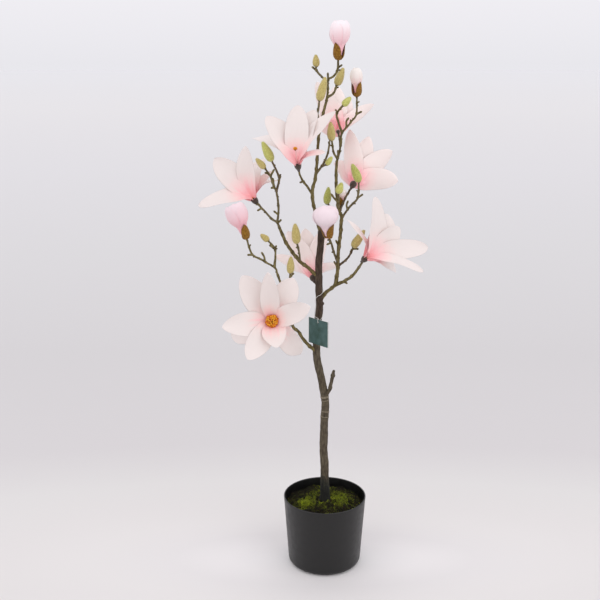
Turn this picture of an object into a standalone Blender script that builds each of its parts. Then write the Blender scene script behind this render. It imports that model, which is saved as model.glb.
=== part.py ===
"""A silk magnolia tree in a plain black pot: a bare branching tree that carries open flowers, half-open
blooms and furry buds.

Sizes are in metres. The origin is the centre of the pot's flat underside, with +Z up, +X to the right and
-Y towards the front. A direction is given as it looks from the front: a clock angle from straight up,
positive to the right, and a lean towards the front, negative towards the back.
"""

from math import cos, pi, radians, sin
from random import Random

import bmesh
import bpy
from mathutils import Matrix, Vector

GAP = 0.0003

POT_HEIGHT = 0.1475
POT_RIM_RADIUS = 0.085
POT_FOOT_RADIUS = 0.0755
POT_WALL = 0.0025
POT_FOOT_ROUNDING = 0.012
POT_SEGMENTS = 40
ARC_STEPS = 3

GROUND = 0.1205
MOSS_EDGE = 0.127
MOSS_RISE = 0.010
MOSS_LUMP = 0.0016
MOSS_RINGS = 5

TRUNK_SIDES = 12
BOUGH_SIDES = 8
TWIG_SIDES = 5
TRUNK_STEP = 0.026
LIMB_STEP = 0.013
COLLAR = 1.12
STUB_SPACING = 0.034
STUB_LENGTH = 0.0045
STUB_RADIUS = 0.0016
STUB_SIDES = 4
GOLDEN_TURN = radians(137.5)

TRUNK_KNEES = [
    (0.000, 0.000, 0.185),
    (-0.003, 0.000, 0.270),
    (-0.001, 0.000, 0.359),
    (-0.015, 0.000, 0.432),
    (-0.019, 0.000, 0.474),
    (-0.018, 0.000, 0.505),
    (-0.013, 0.000, 0.558),
    (-0.015, 0.000, 0.611),
    (-0.014, 0.000, 0.647),
    (-0.010, 0.000, 0.703),
]
TRUNK_FLARE = 0.0150
TRUNK_FLARE_HEIGHT = 0.012
TRUNK_ROOT = 0.0083
TRUNK_TIP = 0.0060

PETAL_LENGTH = 0.112
PETAL_WIDTH = 0.050
PETAL_THICKNESS = 0.0014
PETAL_CLAW = 0.20
PETAL_WIDEST = 0.6
PETAL_TIP = 0.25
PETAL_CUP = 0.20
PETAL_ROWS = (0.0, 0.28, 0.6, 0.88, 1.0)
PETAL_COLUMNS = (-1.0, -0.4, 0.4, 1.0)

CALYX_LENGTH = 0.016
CALYX_RADIUS = 0.0062
STAMEN_LENGTH = 0.022
STAMEN_RADIUS = 0.0115
SEPAL_LENGTH = 0.030
SEPAL_WIDTH = 0.021

BUD_PROFILE = ((0.0, 0.45), (0.12, 0.82), (0.35, 1.05), (0.62, 0.88), (0.86, 0.45), (1.0, 0.12))
BLOOM_PROFILE = ((0.0, 0.28), (0.14, 0.46), (0.42, 0.82), (0.66, 1.0), (0.88, 0.84), (1.0, 0.42))
CALYX_PROFILE = ((0.0, 0.50), (0.5, 0.85), (1.0, 1.0))
STAMEN_PROFILE = ((0.0, 0.30), (0.45, 0.80), (0.80, 1.0), (1.0, 0.65))

# Each open flower: the way that its axis faces, then clock angle, lean and share of full length by petal.
FLOWERS = {
    "front": ((0, 72), ((-6, 18, 0.95), (28, 4, 0.9), (66, 28, 0.85), (138, -20, 0.9), (163, 62, 0.68),
                        (-142, 45, 0.87), (-115, -25, 0.85), (-90, 28, 0.9), (-27, 14, 1.0))),
    "left": ((-30, 35), ((-95, 14, 0.98), (-46, -10, 1.0), (-10, -8, 0.95), (10, -42, 0.95), (38, -48, 0.95),
                         (-30, 58, 0.55))),
    "upper_left": ((-3, 30), ((-62, 0, 1.0), (-36, -10, 0.95), (1, -8, 0.97), (17, -8, 0.95), (34, -3, 1.1),
                              (60, 32, 0.7), (-55, 45, 0.9))),
    "upper_back": ((10, -75), ((-2, -45, 0.95), (28, -50, 0.95), (60, -42, 0.95), (-90, -60, 0.85),
                               (-28, -50, 0.9), (-40, -82, 0.75))),
    "right_back": ((45, -75), ((-7, -37, 1.05), (21, -38, 1.0), (53, -32, 1.0), (90, -38, 1.0),
                               (-50, -55, 0.8), (160, -62, 0.8), (-140, -62, 0.8))),
    "right": ((56, 33), ((6, -10, 1.06), (1, -32, 0.85), (36, 28, 0.88), (62, -8, 0.75), (82, -14, 1.1),
                         (103, 8, 1.0), (124, -35, 0.85), (-25, 25, 0.9))),
    "back": ((-15, -75), ((-33, -32, 1.0), (-70, -35, 1.0), (-12, -45, 1.0), (12, -42, 1.0),
                          (80, -62, 0.9), (-112, -65, 0.8))),
}

TAG_WIDTH = 0.056
TAG_HEIGHT = 0.052
TAG_THICKNESS = 0.0008
TAG_CENTRE = Vector((-0.0155, -0.020, 0.506))
TAG_TURN = radians(-48)
TAG_HOLE_RADIUS = 0.0016
TAG_HOLE_DROP = 0.006
THREAD_RADIUS = 0.0005
THREAD_SIDES = 4
THREAD_SEAT = 0.00075
THREAD_STEPS = 24
# The thread's way round the trunk: the turn in degrees from +X towards the back, and the height.
THREAD_TURNS = ((195, 0.5345), (75, 0.587), (10, 0.588), (-45, 0.5814), (-127, 0.5749), (-370, 0.5336))
THREAD_CROSSING = 0.0014


def remove_start_objects():
    for thing in list(bpy.data.objects):
        bpy.data.objects.remove(thing)


def pointing(clock, lean=0):
    """The unit vector that points this way."""
    clock, lean = radians(clock), radians(lean)
    return Vector((sin(clock) * cos(lean), -sin(lean), cos(clock) * cos(lean)))


def mesh_object(name, points, faces):
    """A closed mesh with its faces turned outwards."""
    mesh = bpy.data.meshes.new(name)
    mesh.from_pydata([tuple(point) for point in points], [], faces)
    shape = bmesh.new()
    shape.from_mesh(mesh)
    bmesh.ops.recalc_face_normals(shape, faces=shape.faces)
    shape.to_mesh(mesh)
    shape.free()
    thing = bpy.data.objects.new(name, mesh)
    bpy.context.scene.collection.objects.link(thing)
    return thing


def bridged(rings, size, closed=False):
    """The faces between rings of points, with flat caps unless the rings close on themselves."""
    faces = []
    pairs = rings if closed else rings - 1
    for ring in range(pairs):
        start = ring * size
        after = (ring + 1) % rings * size
        for side in range(size):
            beside = (side + 1) % size
            faces.append((start + side, start + beside, after + beside, after + side))
    if not closed:
        faces.append(tuple(reversed(range(size))))
        faces.append(tuple(range((rings - 1) * size, rings * size)))
    return faces


def smooth_curve(knees, step):
    """Points at about this step on a curve that passes through the knees."""
    knees = [Vector(knee) for knee in knees]
    ends = [2 * knees[0] - knees[1]] + knees + [2 * knees[-1] - knees[-2]]
    path = []
    for before, start, end, after in zip(ends, ends[1:], ends[2:], ends[3:]):
        count = max(1, round((end - start).length / step))
        for index in range(count):
            t = index / count
            path.append(0.5 * (2 * start + (end - before) * t
                               + (2 * before - 5 * start + 4 * end - after) * t ** 2
                               + (3 * start - before - 3 * end + after) * t ** 3))
    path.append(knees[-1])
    return path


def tube(path, radii, sides, closed=False):
    """A tube along the path, its rings turned with it so that it doesn't twist."""
    if closed:
        headings = [after - before for before, after in zip(path[-1:] + path, path[1:] + path[:1])]
    else:
        headings = [after - before for before, after in zip(path[:1] + path, path[1:] + path[-1:])]
    across = headings[0].orthogonal()
    points = []
    for centre, heading, radius in zip(path, headings, radii):
        heading.normalize()
        across = (across - across.dot(heading) * heading).normalized()
        up = heading.cross(across)
        for side in range(sides):
            turn = 2 * pi * side / sides
            points.append(centre + radius * (cos(turn) * across + sin(turn) * up))
    return mesh_object("tube", points, bridged(len(path), sides, closed))


class Limb:
    """A tapering limb: the points along its middle and its radius at each of them."""

    def __init__(self, start, knees, root_radius, tip_radius, sides, step=LIMB_STEP):
        self.sides = sides
        self.path = smooth_curve([start] + list(knees), step)
        last = len(self.path) - 1
        self.radii = [root_radius + (tip_radius - root_radius) * n / last for n in range(last + 1)]
        self.radii[0] *= COLLAR

    def at(self, height):
        """The place on its middle at this height, or just inside its tip."""
        if height is None:
            return self.path[-1] - 0.0025 * self.heading()
        for below, above in zip(self.path, self.path[1:]):
            if below.z <= height <= above.z:
                return below.lerp(above, (height - below.z) / (above.z - below.z))
        raise ValueError(f"the limb doesn't pass the height {height}")

    def heading(self):
        return (self.path[-1] - self.path[-2]).normalized()

    def mesh(self, extra=0.0):
        """Its tube. With extra it stands proud all round, to cut a gap from what meets it."""
        path = list(self.path)
        if extra:
            path[0] = path[0] - extra * (path[1] - path[0]).normalized()
            path[-1] = path[-1] + extra * self.heading()
        return tube(path, [radius + extra for radius in self.radii], self.sides)


class Mass:
    """What is fused into one node: twigs that branch from one stem, with what they carry."""

    def __init__(self, name, boughs):
        self.name = name
        self.boughs = boughs
        self.rule = Random(name)
        self.pieces = []

    def twig(self, carrier, height, knees, root_radius=0.0026, tip_radius=0.0021):
        limb = Limb(carrier.at(height), knees, root_radius, tip_radius, TWIG_SIDES)
        self.pieces.append(limb.mesh())
        self.stubs(limb)
        return limb

    def stubs(self, limb):
        """Short stubs at about even steps, each turned on from the last and skipped where it meets a bough."""
        travelled = STUB_SPACING * self.rule.uniform(0.5, 1.0)
        turn = self.rule.uniform(0, 2 * pi)
        for start, end in zip(limb.path, limb.path[1:]):
            travelled -= (end - start).length
            if travelled > 0:
                continue
            travelled = STUB_SPACING * self.rule.uniform(0.7, 1.3)
            turn += GOLDEN_TURN
            heading = (end - start).normalized()
            outward = Matrix.Rotation(turn, 3, heading) @ heading.orthogonal().normalized()
            tip = end + STUB_LENGTH * (outward + 0.7 * heading)
            if all((point - tip).length > 3 * STUB_LENGTH for bough in self.boughs for point in bough.path):
                self.pieces.append(tube([end, tip], [STUB_RADIUS, 0.7 * STUB_RADIUS], STUB_SIDES))

    def spur(self, limb, height, *bends):
        """A spur that starts on the limb at this height and takes each bend's clock angle and length."""
        knees = [limb.at(height)]
        for number, (clock, length) in enumerate(bends):
            knees.append(knees[-1] + length * pointing(clock, 15 * (-1) ** number))
        radii = [0.0020] * (len(knees) - 1) + [0.0017]
        self.pieces.append(tube(knees, radii, TWIG_SIDES))

    def turned(self, base, axis, length, radius, profile, sides=6):
        """A round body along the axis, with this profile of height and width."""
        across = axis.orthogonal().normalized()
        up = axis.cross(across)
        points = []
        for share, width in profile:
            for side in range(sides):
                turn = 2 * pi * side / sides
                spoke = cos(turn) * across + sin(turn) * up
                points.append(base + share * length * axis + width * radius * spoke)
        self.pieces.append(mesh_object("turned", points, bridged(len(profile), sides)))

    def bud(self, limb, clock, lean, length, radius):
        axis = pointing(clock, lean)
        self.turned(limb.path[-1] - 0.003 * axis, axis, length + 0.003, radius, BUD_PROFILE)

    def blade(self, base, toward, axis, length, width, bow):
        """A petal or sepal: a thin blade, hollow on the side of the flower's axis and bowed that way."""
        side = axis.cross(toward).normalized()
        face = toward.cross(side)
        top, under = [], []
        for row in PETAL_ROWS:
            half = 0.5 * width * petal_spread(row)
            centre = base + row * length * toward + bow * length * sin(pi * row) * face
            for column in PETAL_COLUMNS:
                place = centre + column * half * side + PETAL_CUP * half * column ** 2 * face
                depth = 0.5 * PETAL_THICKNESS * (1 - column ** 2) * face
                top.append(place + depth)
                under.append(place - depth)
        self.pieces.append(closed_blade(top, under, len(PETAL_ROWS), len(PETAL_COLUMNS)))

    def flower(self, limb, kind):
        """An open flower on the limb's tip, with its calyx and its stamens."""
        (clock, lean), petals = FLOWERS[kind]
        axis = pointing(clock, lean)
        base = limb.path[-1]
        stalk = (limb.heading() + axis).normalized()
        self.turned(base - 0.5 * CALYX_LENGTH * stalk, stalk, CALYX_LENGTH, CALYX_RADIUS, CALYX_PROFILE)
        self.turned(base, axis, STAMEN_LENGTH, STAMEN_RADIUS, STAMEN_PROFILE)
        for petal_clock, petal_lean, share in petals:
            toward = pointing(petal_clock, petal_lean)
            self.blade(base, toward, axis, share * PETAL_LENGTH, PETAL_WIDTH, 0.05)

    def half_open(self, limb, clock, lean, length, radius, sepal_turns):
        """A closed cup of petals on the limb's tip, with sepals that hug its foot."""
        axis = pointing(clock, lean)
        base = limb.path[-1] - 0.003 * axis
        self.turned(base, axis, length + 0.003, radius, BLOOM_PROFILE, sides=12)
        front = pointing(0, 90)
        outward = (front - front.dot(axis) * axis).normalized()
        for turn in sepal_turns:
            spoke = Matrix.Rotation(radians(turn), 3, axis) @ outward
            toward = (axis + 0.95 * radius / SEPAL_LENGTH * spoke).normalized()
            self.blade(base, toward, axis, SEPAL_LENGTH, SEPAL_WIDTH, -0.16)

    def finish(self, *carriers):
        """Fuses the pieces, then cuts them clear of the limbs that carry them."""
        node = joined(self.name, self.pieces)
        combine(node, "DIFFERENCE", [carrier.mesh(GAP) for carrier in carriers])
        keep_main_body(node)
        return node


def petal_spread(row):
    """How wide a blade is at this share of its length: it widens from a narrow claw and has a round tip."""
    widening = PETAL_CLAW + (1 - PETAL_CLAW) * sin(pi / 2 * min(1, row / PETAL_WIDEST)) ** 1.3
    closing = max(0, (row - PETAL_WIDEST) / (1 - PETAL_WIDEST)) ** 2.4
    return widening * max(PETAL_TIP, max(0, 1 - closing) ** 0.5)


def closed_blade(top, under, rows, columns):
    """A thin closed shape from two grids of points that share their two long edges."""
    points = list(top)
    lower = {}
    for row in range(rows):
        for column in range(columns):
            index = row * columns + column
            if column in (0, columns - 1):
                lower[index] = index
            else:
                lower[index] = len(points)
                points.append(under[index])
    faces = []
    for row in range(rows - 1):
        for column in range(columns - 1):
            corner = row * columns + column
            quad = (corner, corner + 1, corner + columns + 1, corner + columns)
            faces.append(quad)
            faces.append(tuple(lower[index] for index in reversed(quad)))
    for row in (0, rows - 1):
        edge = [row * columns + column for column in range(columns)]
        faces.append(tuple(edge) + tuple(lower[index] for index in reversed(edge[1:-1])))
    return mesh_object("blade", points, faces)


def combine(target, operation, others):
    """One Boolean of the target with a collection of other meshes, which are then removed."""
    helpers = bpy.data.collections.new("helpers")
    bpy.context.scene.collection.children.link(helpers)
    for other in others:
        bpy.context.scene.collection.objects.unlink(other)
        helpers.objects.link(other)
    boolean = target.modifiers.new("combine", "BOOLEAN")
    boolean.operation = operation
    boolean.operand_type = "COLLECTION"
    boolean.collection = helpers
    boolean.solver = "MANIFOLD"
    bpy.context.view_layer.update()
    graph = bpy.context.evaluated_depsgraph_get()
    result = bpy.data.meshes.new_from_object(target.evaluated_get(graph))
    target.modifiers.remove(boolean)
    target.data = result
    for other in others:
        bpy.data.objects.remove(other)
    bpy.data.collections.remove(helpers)


def joined(name, pieces):
    node = pieces[0]
    node.name = name
    if len(pieces) > 1:
        combine(node, "UNION", pieces[1:])
    return node


def keep_main_body(node):
    """Drops loose scraps and the walls of sealed hollows, which leaves the largest body."""
    shape = bmesh.new()
    shape.from_mesh(node.data)
    unseen = set(shape.verts)
    bodies = []
    while unseen:
        front = [unseen.pop()]
        body = set(front)
        while front:
            for edge in front.pop().link_edges:
                for end in edge.verts:
                    if end in unseen:
                        unseen.remove(end)
                        body.add(end)
                        front.append(end)
        bodies.append(body)
    bodies.sort(key=len)
    for body in bodies[:-1]:
        bmesh.ops.delete(shape, geom=list(body), context="VERTS")
    shape.to_mesh(node.data)
    shape.free()


def paint(node, colour, roughness):
    """A plain material of its own for the node, and smooth shading."""
    material = bpy.data.materials.new(node.name)
    material.use_nodes = True
    shader = material.node_tree.nodes["Principled BSDF"]
    shader.inputs["Base Color"].default_value = (*colour, 1)
    shader.inputs["Roughness"].default_value = roughness
    node.data.materials.clear()
    node.data.materials.append(material)
    node.data.shade_smooth()


def lathe(name, profile):
    """A solid turned about Z from a profile of radius and height, whose ends may lie on the axis."""
    points, faces, rings = [], [], []
    for radius, height in profile:
        if radius == 0:
            rings.append([len(points)] * POT_SEGMENTS)
            points.append((0, 0, height))
            continue
        rings.append(list(range(len(points), len(points) + POT_SEGMENTS)))
        for segment in range(POT_SEGMENTS):
            turn = 2 * pi * segment / POT_SEGMENTS
            points.append((radius * cos(turn), radius * sin(turn), height))
    for lower, upper in zip(rings, rings[1:]):
        for segment in range(POT_SEGMENTS):
            beside = (segment + 1) % POT_SEGMENTS
            corners = (lower[segment], lower[beside], upper[beside], upper[segment])
            faces.append(tuple(dict.fromkeys(corners)))
    return mesh_object(name, points, faces)


def wall_radius(height, inset):
    """The radius of the pot's straight wall at this height, this far in from the outer face."""
    share = (height - POT_FOOT_ROUNDING) / (POT_HEIGHT - POT_FOOT_ROUNDING)
    return POT_FOOT_RADIUS + (POT_RIM_RADIUS - POT_FOOT_RADIUS) * share - inset


def rounded_foot(inset):
    """The quarter round between underside and wall, this far in from the outer face."""
    centre = POT_FOOT_RADIUS - POT_FOOT_ROUNDING
    reach = POT_FOOT_ROUNDING - inset
    foot = []
    for step in range(ARC_STEPS + 1):
        turn = pi / 2 * step / ARC_STEPS
        foot.append((centre + reach * sin(turn), POT_FOOT_ROUNDING - reach * cos(turn)))
    return foot


def make_pot():
    lip = POT_WALL / 2
    rim = [
        (POT_RIM_RADIUS, POT_HEIGHT - 0.6 * lip),
        (POT_RIM_RADIUS - 0.4 * lip, POT_HEIGHT),
        (POT_RIM_RADIUS - 1.6 * lip, POT_HEIGHT),
        (POT_RIM_RADIUS - POT_WALL, POT_HEIGHT - 0.6 * lip),
    ]
    inside = list(reversed(rounded_foot(POT_WALL)))
    pot = lathe("pot", [(0, 0)] + rounded_foot(0) + rim + inside + [(0, POT_WALL)])
    paint(pot, (0.03, 0.03, 0.032), 0.45)


def make_filling():
    inset = POT_WALL + GAP
    foot = rounded_foot(inset)
    top = [(wall_radius(GROUND - GAP, inset), GROUND - GAP), (0, GROUND - GAP)]
    filling = lathe("pot_filling", [(0, foot[0][1])] + foot + top)
    paint(filling, (0.10, 0.07, 0.05), 0.9)


def trunk_radius(height):
    """The trunk's radius: an even taper with a flare that dies out above the ground."""
    top = TRUNK_KNEES[-1][2]
    share = (height - GROUND) / (top - GROUND)
    flare = (TRUNK_FLARE - TRUNK_ROOT) * 2.718 ** (-((height - GROUND) / TRUNK_FLARE_HEIGHT) ** 1.3 / 3)
    return TRUNK_ROOT + (TRUNK_TIP - TRUNK_ROOT) * share + flare


def make_moss():
    """A lumpy mound from the trunk to the pot's wall, flat beneath."""
    inner = trunk_radius(GROUND) + 2 * GAP
    outer = wall_radius(GROUND, POT_WALL) - 0.001
    rule = Random("moss")
    waves = [(rule.randint(2, 9), rule.uniform(40, 160), rule.uniform(0, 2 * pi)) for _ in range(6)]
    rings = [(inner, None), (outer, None)]
    for ring in range(MOSS_RINGS, -1, -1):
        radius = inner + (outer - inner) * ring / MOSS_RINGS
        rings.append((radius, MOSS_EDGE + MOSS_RISE * (1 - (radius / outer) ** 2)))
    points = []
    for radius, height in rings:
        for segment in range(POT_SEGMENTS):
            turn = 2 * pi * segment / POT_SEGMENTS
            if height is None:
                level = GROUND + GAP
            else:
                lumps = sum(sin(turns * turn + wave * radius + start) for turns, wave, start in waves)
                level = height + MOSS_LUMP * lumps / 2
            points.append((radius * cos(turn), radius * sin(turn), level))
    moss = mesh_object("moss", points, bridged(len(rings), POT_SEGMENTS, closed=True))
    paint(moss, (0.10, 0.13, 0.03), 0.95)


def make_trunk():
    trunk = Limb((0.0005, 0, GROUND), TRUNK_KNEES, TRUNK_ROOT, TRUNK_TIP, TRUNK_SIDES, TRUNK_STEP)
    foot = [Vector((0.0005, 0, GROUND + GAP + rise)) for rise in (0, 0.008, 0.018, 0.030)]
    trunk.path = foot + [point for point in trunk.path if point.z > GROUND + 0.036]
    trunk.radii = [trunk_radius(point.z) for point in trunk.path]
    spur_knees = [trunk.at(0.363), (0.009, -0.005, 0.385), (0.013, -0.008, 0.407), (0.016, -0.010, 0.422)]
    spur = Limb(spur_knees[0], spur_knees[1:], 0.0042, 0.0032, TWIG_SIDES)
    spur.radii[-2] *= 1.25
    bump = tube([trunk.at(0.559), trunk.at(0.559) + Vector((0.010, -0.002, 0.001))], [0.003, 0.002], TWIG_SIDES)
    paint(joined("trunk", [trunk.mesh(), spur.mesh(), bump]), (0.13, 0.10, 0.065), 0.85)
    return trunk


def make_bough(name, carrier, height, knees, root_radius, tip_radius, spurs=()):
    """A main bough with its few spurs, cut clear of what carries it."""
    limb = Limb(carrier.at(height), knees, root_radius, tip_radius, BOUGH_SIDES)
    mass = Mass(name, [carrier])
    mass.pieces.append(limb.mesh())
    for spur_height, bends in spurs:
        mass.spur(limb, spur_height, *bends)
    paint(mass.finish(carrier), (0.12, 0.09, 0.06), 0.85)
    return limb


def make_boughs(trunk):
    low = make_bough("low_bough", trunk, 0.459, [
        (-0.040, -0.012, 0.483), (-0.053, -0.020, 0.505), (-0.066, -0.028, 0.523), (-0.078, -0.035, 0.570),
    ], 0.0036, 0.0029, [(0.505, [(-33, 0.0075)])])
    left = make_bough("left_bough", trunk, 0.613, [
        (-0.038, 0.006, 0.632), (-0.051, 0.008, 0.642), (-0.068, 0.012, 0.662), (-0.081, 0.016, 0.683),
        (-0.092, 0.019, 0.708),
    ], 0.0036, 0.0030)
    right = make_bough("right_bough", trunk, 0.562, [
        (-0.002, 0.004, 0.579), (0.008, 0.008, 0.586), (0.020, 0.010, 0.595), (0.038, -0.004, 0.607),
        (0.053, -0.018, 0.623), (0.062, -0.030, 0.640),
    ], 0.0042, 0.0029, [(0.604, [(115, 0.0075)])])
    riser = make_bough("riser_bough", right, 0.594, [
        (0.023, 0.012, 0.628), (0.023, 0.013, 0.652), (0.027, 0.014, 0.694), (0.029, 0.015, 0.728),
        (0.023, 0.017, 0.746), (0.019, 0.019, 0.781), (0.018, 0.020, 0.810), (0.019, 0.020, 0.836),
    ], 0.0037, 0.0030, [(0.628, [(-28, 0.016)]), (0.670, [(-23, 0.015)])])
    leader = make_bough("leader_bough", trunk, None, [
        (-0.016, 0.000, 0.715), (-0.021, 0.000, 0.735), (-0.028, 0.000, 0.776), (-0.021, 0.006, 0.814),
        (-0.016, 0.010, 0.883), (-0.009, 0.010, 0.923), (-0.001, 0.010, 0.952),
    ], 0.0042, 0.0029)
    return low, left, right, riser, leader


def make_low_left_spray(boughs, low):
    mass = Mass("low_left_spray", boughs)
    stem = mass.twig(low, None, [
        (-0.081, -0.036, 0.584), (-0.094, -0.040, 0.626), (-0.100, -0.042, 0.641), (-0.126, -0.050, 0.659),
        (-0.142, -0.058, 0.671), (-0.151, -0.065, 0.701),
    ])
    mass.half_open(stem, -20, 8, 0.070, 0.0215, (20, 160))
    mass.spur(stem, 0.669, (-88, 0.0095))
    mass.spur(stem, 0.654, (-5, 0.010), (-31, 0.009))
    inner = mass.twig(stem, 0.641, [(-0.099, -0.036, 0.674), (-0.114, -0.030, 0.693)])
    mass.bud(inner, -51, 0, 0.016, 0.0061)
    mass.spur(inner, 0.676, (31, 0.007))
    mass.spur(inner, 0.678, (-54, 0.009))
    upright = mass.twig(stem, 0.580, [(-0.072, -0.030, 0.608), (-0.070, -0.024, 0.629)])
    mass.bud(upright, 2, 3, 0.030, 0.0071)
    mass.spur(upright, 0.620, (44, 0.0095))
    return mass.finish(low)


def make_front_spray(boughs, low):
    mass = Mass("front_spray", boughs)
    stem = mass.twig(low, 0.523, [(-0.080, -0.045, 0.528), (-0.097, -0.068, 0.538), (-0.104, -0.083, 0.546)])
    mass.flower(stem, "front")
    return mass.finish(low)


def make_left_spray(boughs, left):
    mass = Mass("left_spray", boughs)
    stem = mass.twig(left, None, [
        (-0.096, 0.020, 0.717), (-0.107, 0.021, 0.725), (-0.123, 0.023, 0.742), (-0.142, 0.025, 0.763),
    ])
    mass.flower(stem, "left")
    mass.spur(stem, 0.716, (45, 0.010))
    mass.spur(stem, 0.745, (-117, 0.009))
    inner = mass.twig(stem, 0.717, [
        (-0.093, 0.014, 0.741), (-0.094, 0.008, 0.761), (-0.097, 0.004, 0.780), (-0.104, 0.000, 0.797),
        (-0.108, -0.002, 0.811), (-0.120, -0.006, 0.828),
    ])
    mass.bud(inner, -42, 5, 0.022, 0.0061)
    mass.spur(inner, 0.734, (-50, 0.0105))
    mass.spur(inner, 0.788, (-95, 0.006))
    mass.spur(inner, 0.791, (-6, 0.015))
    mass.spur(inner, 0.810, (28, 0.015))
    mass.spur(inner, 0.815, (-72, 0.007))
    outer = mass.twig(inner, 0.780, [(-0.092, 0.000, 0.799), (-0.092, -0.004, 0.811), (-0.106, -0.012, 0.843)])
    mass.bud(outer, -27, 6, 0.034, 0.0083)
    mass.spur(outer, 0.802, (23, 0.009))
    return mass.finish(left)


def make_left_bud_spray(boughs, left):
    mass = Mass("left_bud_spray", boughs)
    stem = mass.twig(left, 0.643, [(-0.053, -0.004, 0.662), (-0.058, -0.015, 0.686)])
    mass.bud(stem, -5, 5, 0.036, 0.0083)
    return mass.finish(left)


def make_back_spray(boughs, trunk):
    mass = Mass("back_spray", boughs)
    stem = mass.twig(trunk, 0.591, [(-0.023, 0.012, 0.601), (-0.026, 0.022, 0.608)])
    mass.flower(stem, "back")
    return mass.finish(trunk)


def make_right_spray(boughs, right):
    mass = Mass("right_spray", boughs)
    stem = mass.twig(right, None, [(0.068, -0.038, 0.651), (0.074, -0.045, 0.661)])
    mass.flower(stem, "right")
    return mass.finish(right)


def make_right_bud_spray(boughs, riser):
    mass = Mass("right_bud_spray", boughs)
    stem = mass.twig(riser, 0.632, [(0.039, 0.008, 0.646), (0.048, 0.004, 0.661), (0.053, 0.000, 0.675)])
    mass.bud(stem, 33, 0, 0.037, 0.0082)
    mass.spur(stem, 0.669, (90, 0.0105))
    return mass.finish(riser)


def make_centre_spray(boughs, riser):
    mass = Mass("centre_spray", boughs)
    stem = mass.twig(riser, 0.638, [(0.014, 0.000, 0.663), (0.0085, -0.018, 0.684), (0.002, -0.036, 0.694)])
    mass.half_open(stem, -8, 8, 0.066, 0.0245, (35, -60))
    mass.spur(stem, 0.685, (-111, 0.008))
    return mass.finish(riser)


def make_right_upper_spray(boughs, riser):
    mass = Mass("right_upper_spray", boughs)
    stem = mass.twig(riser, 0.726, [
        (0.040, 0.010, 0.744), (0.050, 0.004, 0.757), (0.059, -0.002, 0.770), (0.060, -0.008, 0.803),
    ])
    mass.bud(stem, -23, 3, 0.034, 0.0078)
    mass.spur(stem, 0.768, (54, 0.013))
    mass.spur(stem, 0.745, (-16, 0.009), (19, 0.008))
    return mass.finish(riser)


def make_right_back_spray(boughs, riser):
    mass = Mass("right_back_spray", boughs)
    stem = mass.twig(riser, 0.739, [(0.032, 0.024, 0.755), (0.042, 0.034, 0.772), (0.054, 0.045, 0.791)])
    mass.flower(stem, "right_back")
    return mass.finish(riser)


def make_mid_left_spray(boughs, riser):
    mass = Mass("mid_left_spray", boughs)
    stem = mass.twig(riser, 0.742, [(0.010, 0.027, 0.745), (0.001, 0.034, 0.755)])
    mass.bud(stem, 6, 0, 0.030, 0.0072)
    return mass.finish(riser)


def make_mid_spray(boughs, riser):
    mass = Mass("mid_spray", boughs)
    stem = mass.twig(riser, 0.747, [(0.023, 0.006, 0.766), (0.022, 0.000, 0.780)])
    mass.bud(stem, 19, 5, 0.020, 0.0071)
    mass.spur(stem, 0.758, (-45, 0.013), (-35, 0.009))
    return mass.finish(riser)


def make_upper_right_spray(boughs, riser):
    mass = Mass("upper_right_spray", boughs)
    stem = mass.twig(riser, None, [
        (0.024, 0.020, 0.854), (0.027, 0.020, 0.871), (0.028, 0.020, 0.888), (0.045, 0.020, 0.910),
        (0.055, 0.020, 0.924), (0.056, 0.020, 0.957),
    ])
    mass.half_open(stem, -3, 0, 0.055, 0.0128, (60, -90))
    mass.spur(stem, 0.842, (0, 0.015))
    mass.spur(stem, 0.900, (-1, 0.012), (34, 0.007))
    mass.spur(stem, 0.925, (64, 0.0105))
    low_bud = mass.twig(stem, 0.841, [(0.013, 0.012, 0.853), (0.008, 0.000, 0.880)])
    mass.bud(low_bud, -4, 6, 0.032, 0.0075)
    back = mass.twig(stem, 0.865, [(0.024, 0.034, 0.879), (0.022, 0.047, 0.891)])
    mass.flower(back, "upper_back")
    left = mass.twig(stem, 0.889, [(0.021, 0.012, 0.911), (0.018, 0.008, 0.927), (0.031, 0.000, 0.944)])
    mass.bud(left, 43, 5, 0.018, 0.0064)
    mass.spur(left, 0.926, (-19, 0.008))
    return mass.finish(riser)


def make_upper_left_spray(boughs, leader):
    mass = Mass("upper_left_spray", boughs)
    stem = mass.twig(leader, 0.776, [(-0.039, -0.008, 0.793), (-0.050, -0.018, 0.810), (-0.056, -0.030, 0.836)])
    mass.flower(stem, "upper_left")
    mass.spur(stem, 0.802, (-112, 0.006))
    return mass.finish(leader)


def make_leader_spray(boughs, leader):
    mass = Mass("leader_spray", boughs)
    stem = mass.twig(leader, 0.814, [
        (-0.010, 0.002, 0.829), (-0.001, -0.008, 0.848), (0.003, -0.014, 0.868), (0.003, -0.016, 0.875),
    ])
    side = mass.twig(stem, 0.829, [(-0.004, -0.006, 0.832), (0.000, -0.010, 0.835)])
    mass.bud(side, 35, 5, 0.016, 0.0051)
    return mass.finish(leader)


def make_tall_bud_spray(boughs, leader):
    mass = Mass("tall_bud_spray", boughs)
    stem = mass.twig(leader, 0.903, [(-0.019, 0.000, 0.923), (-0.017, -0.004, 0.937), (-0.015, -0.006, 0.954)])
    mass.bud(stem, 15, 0, 0.041, 0.0082)
    return mass.finish(leader)


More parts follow.
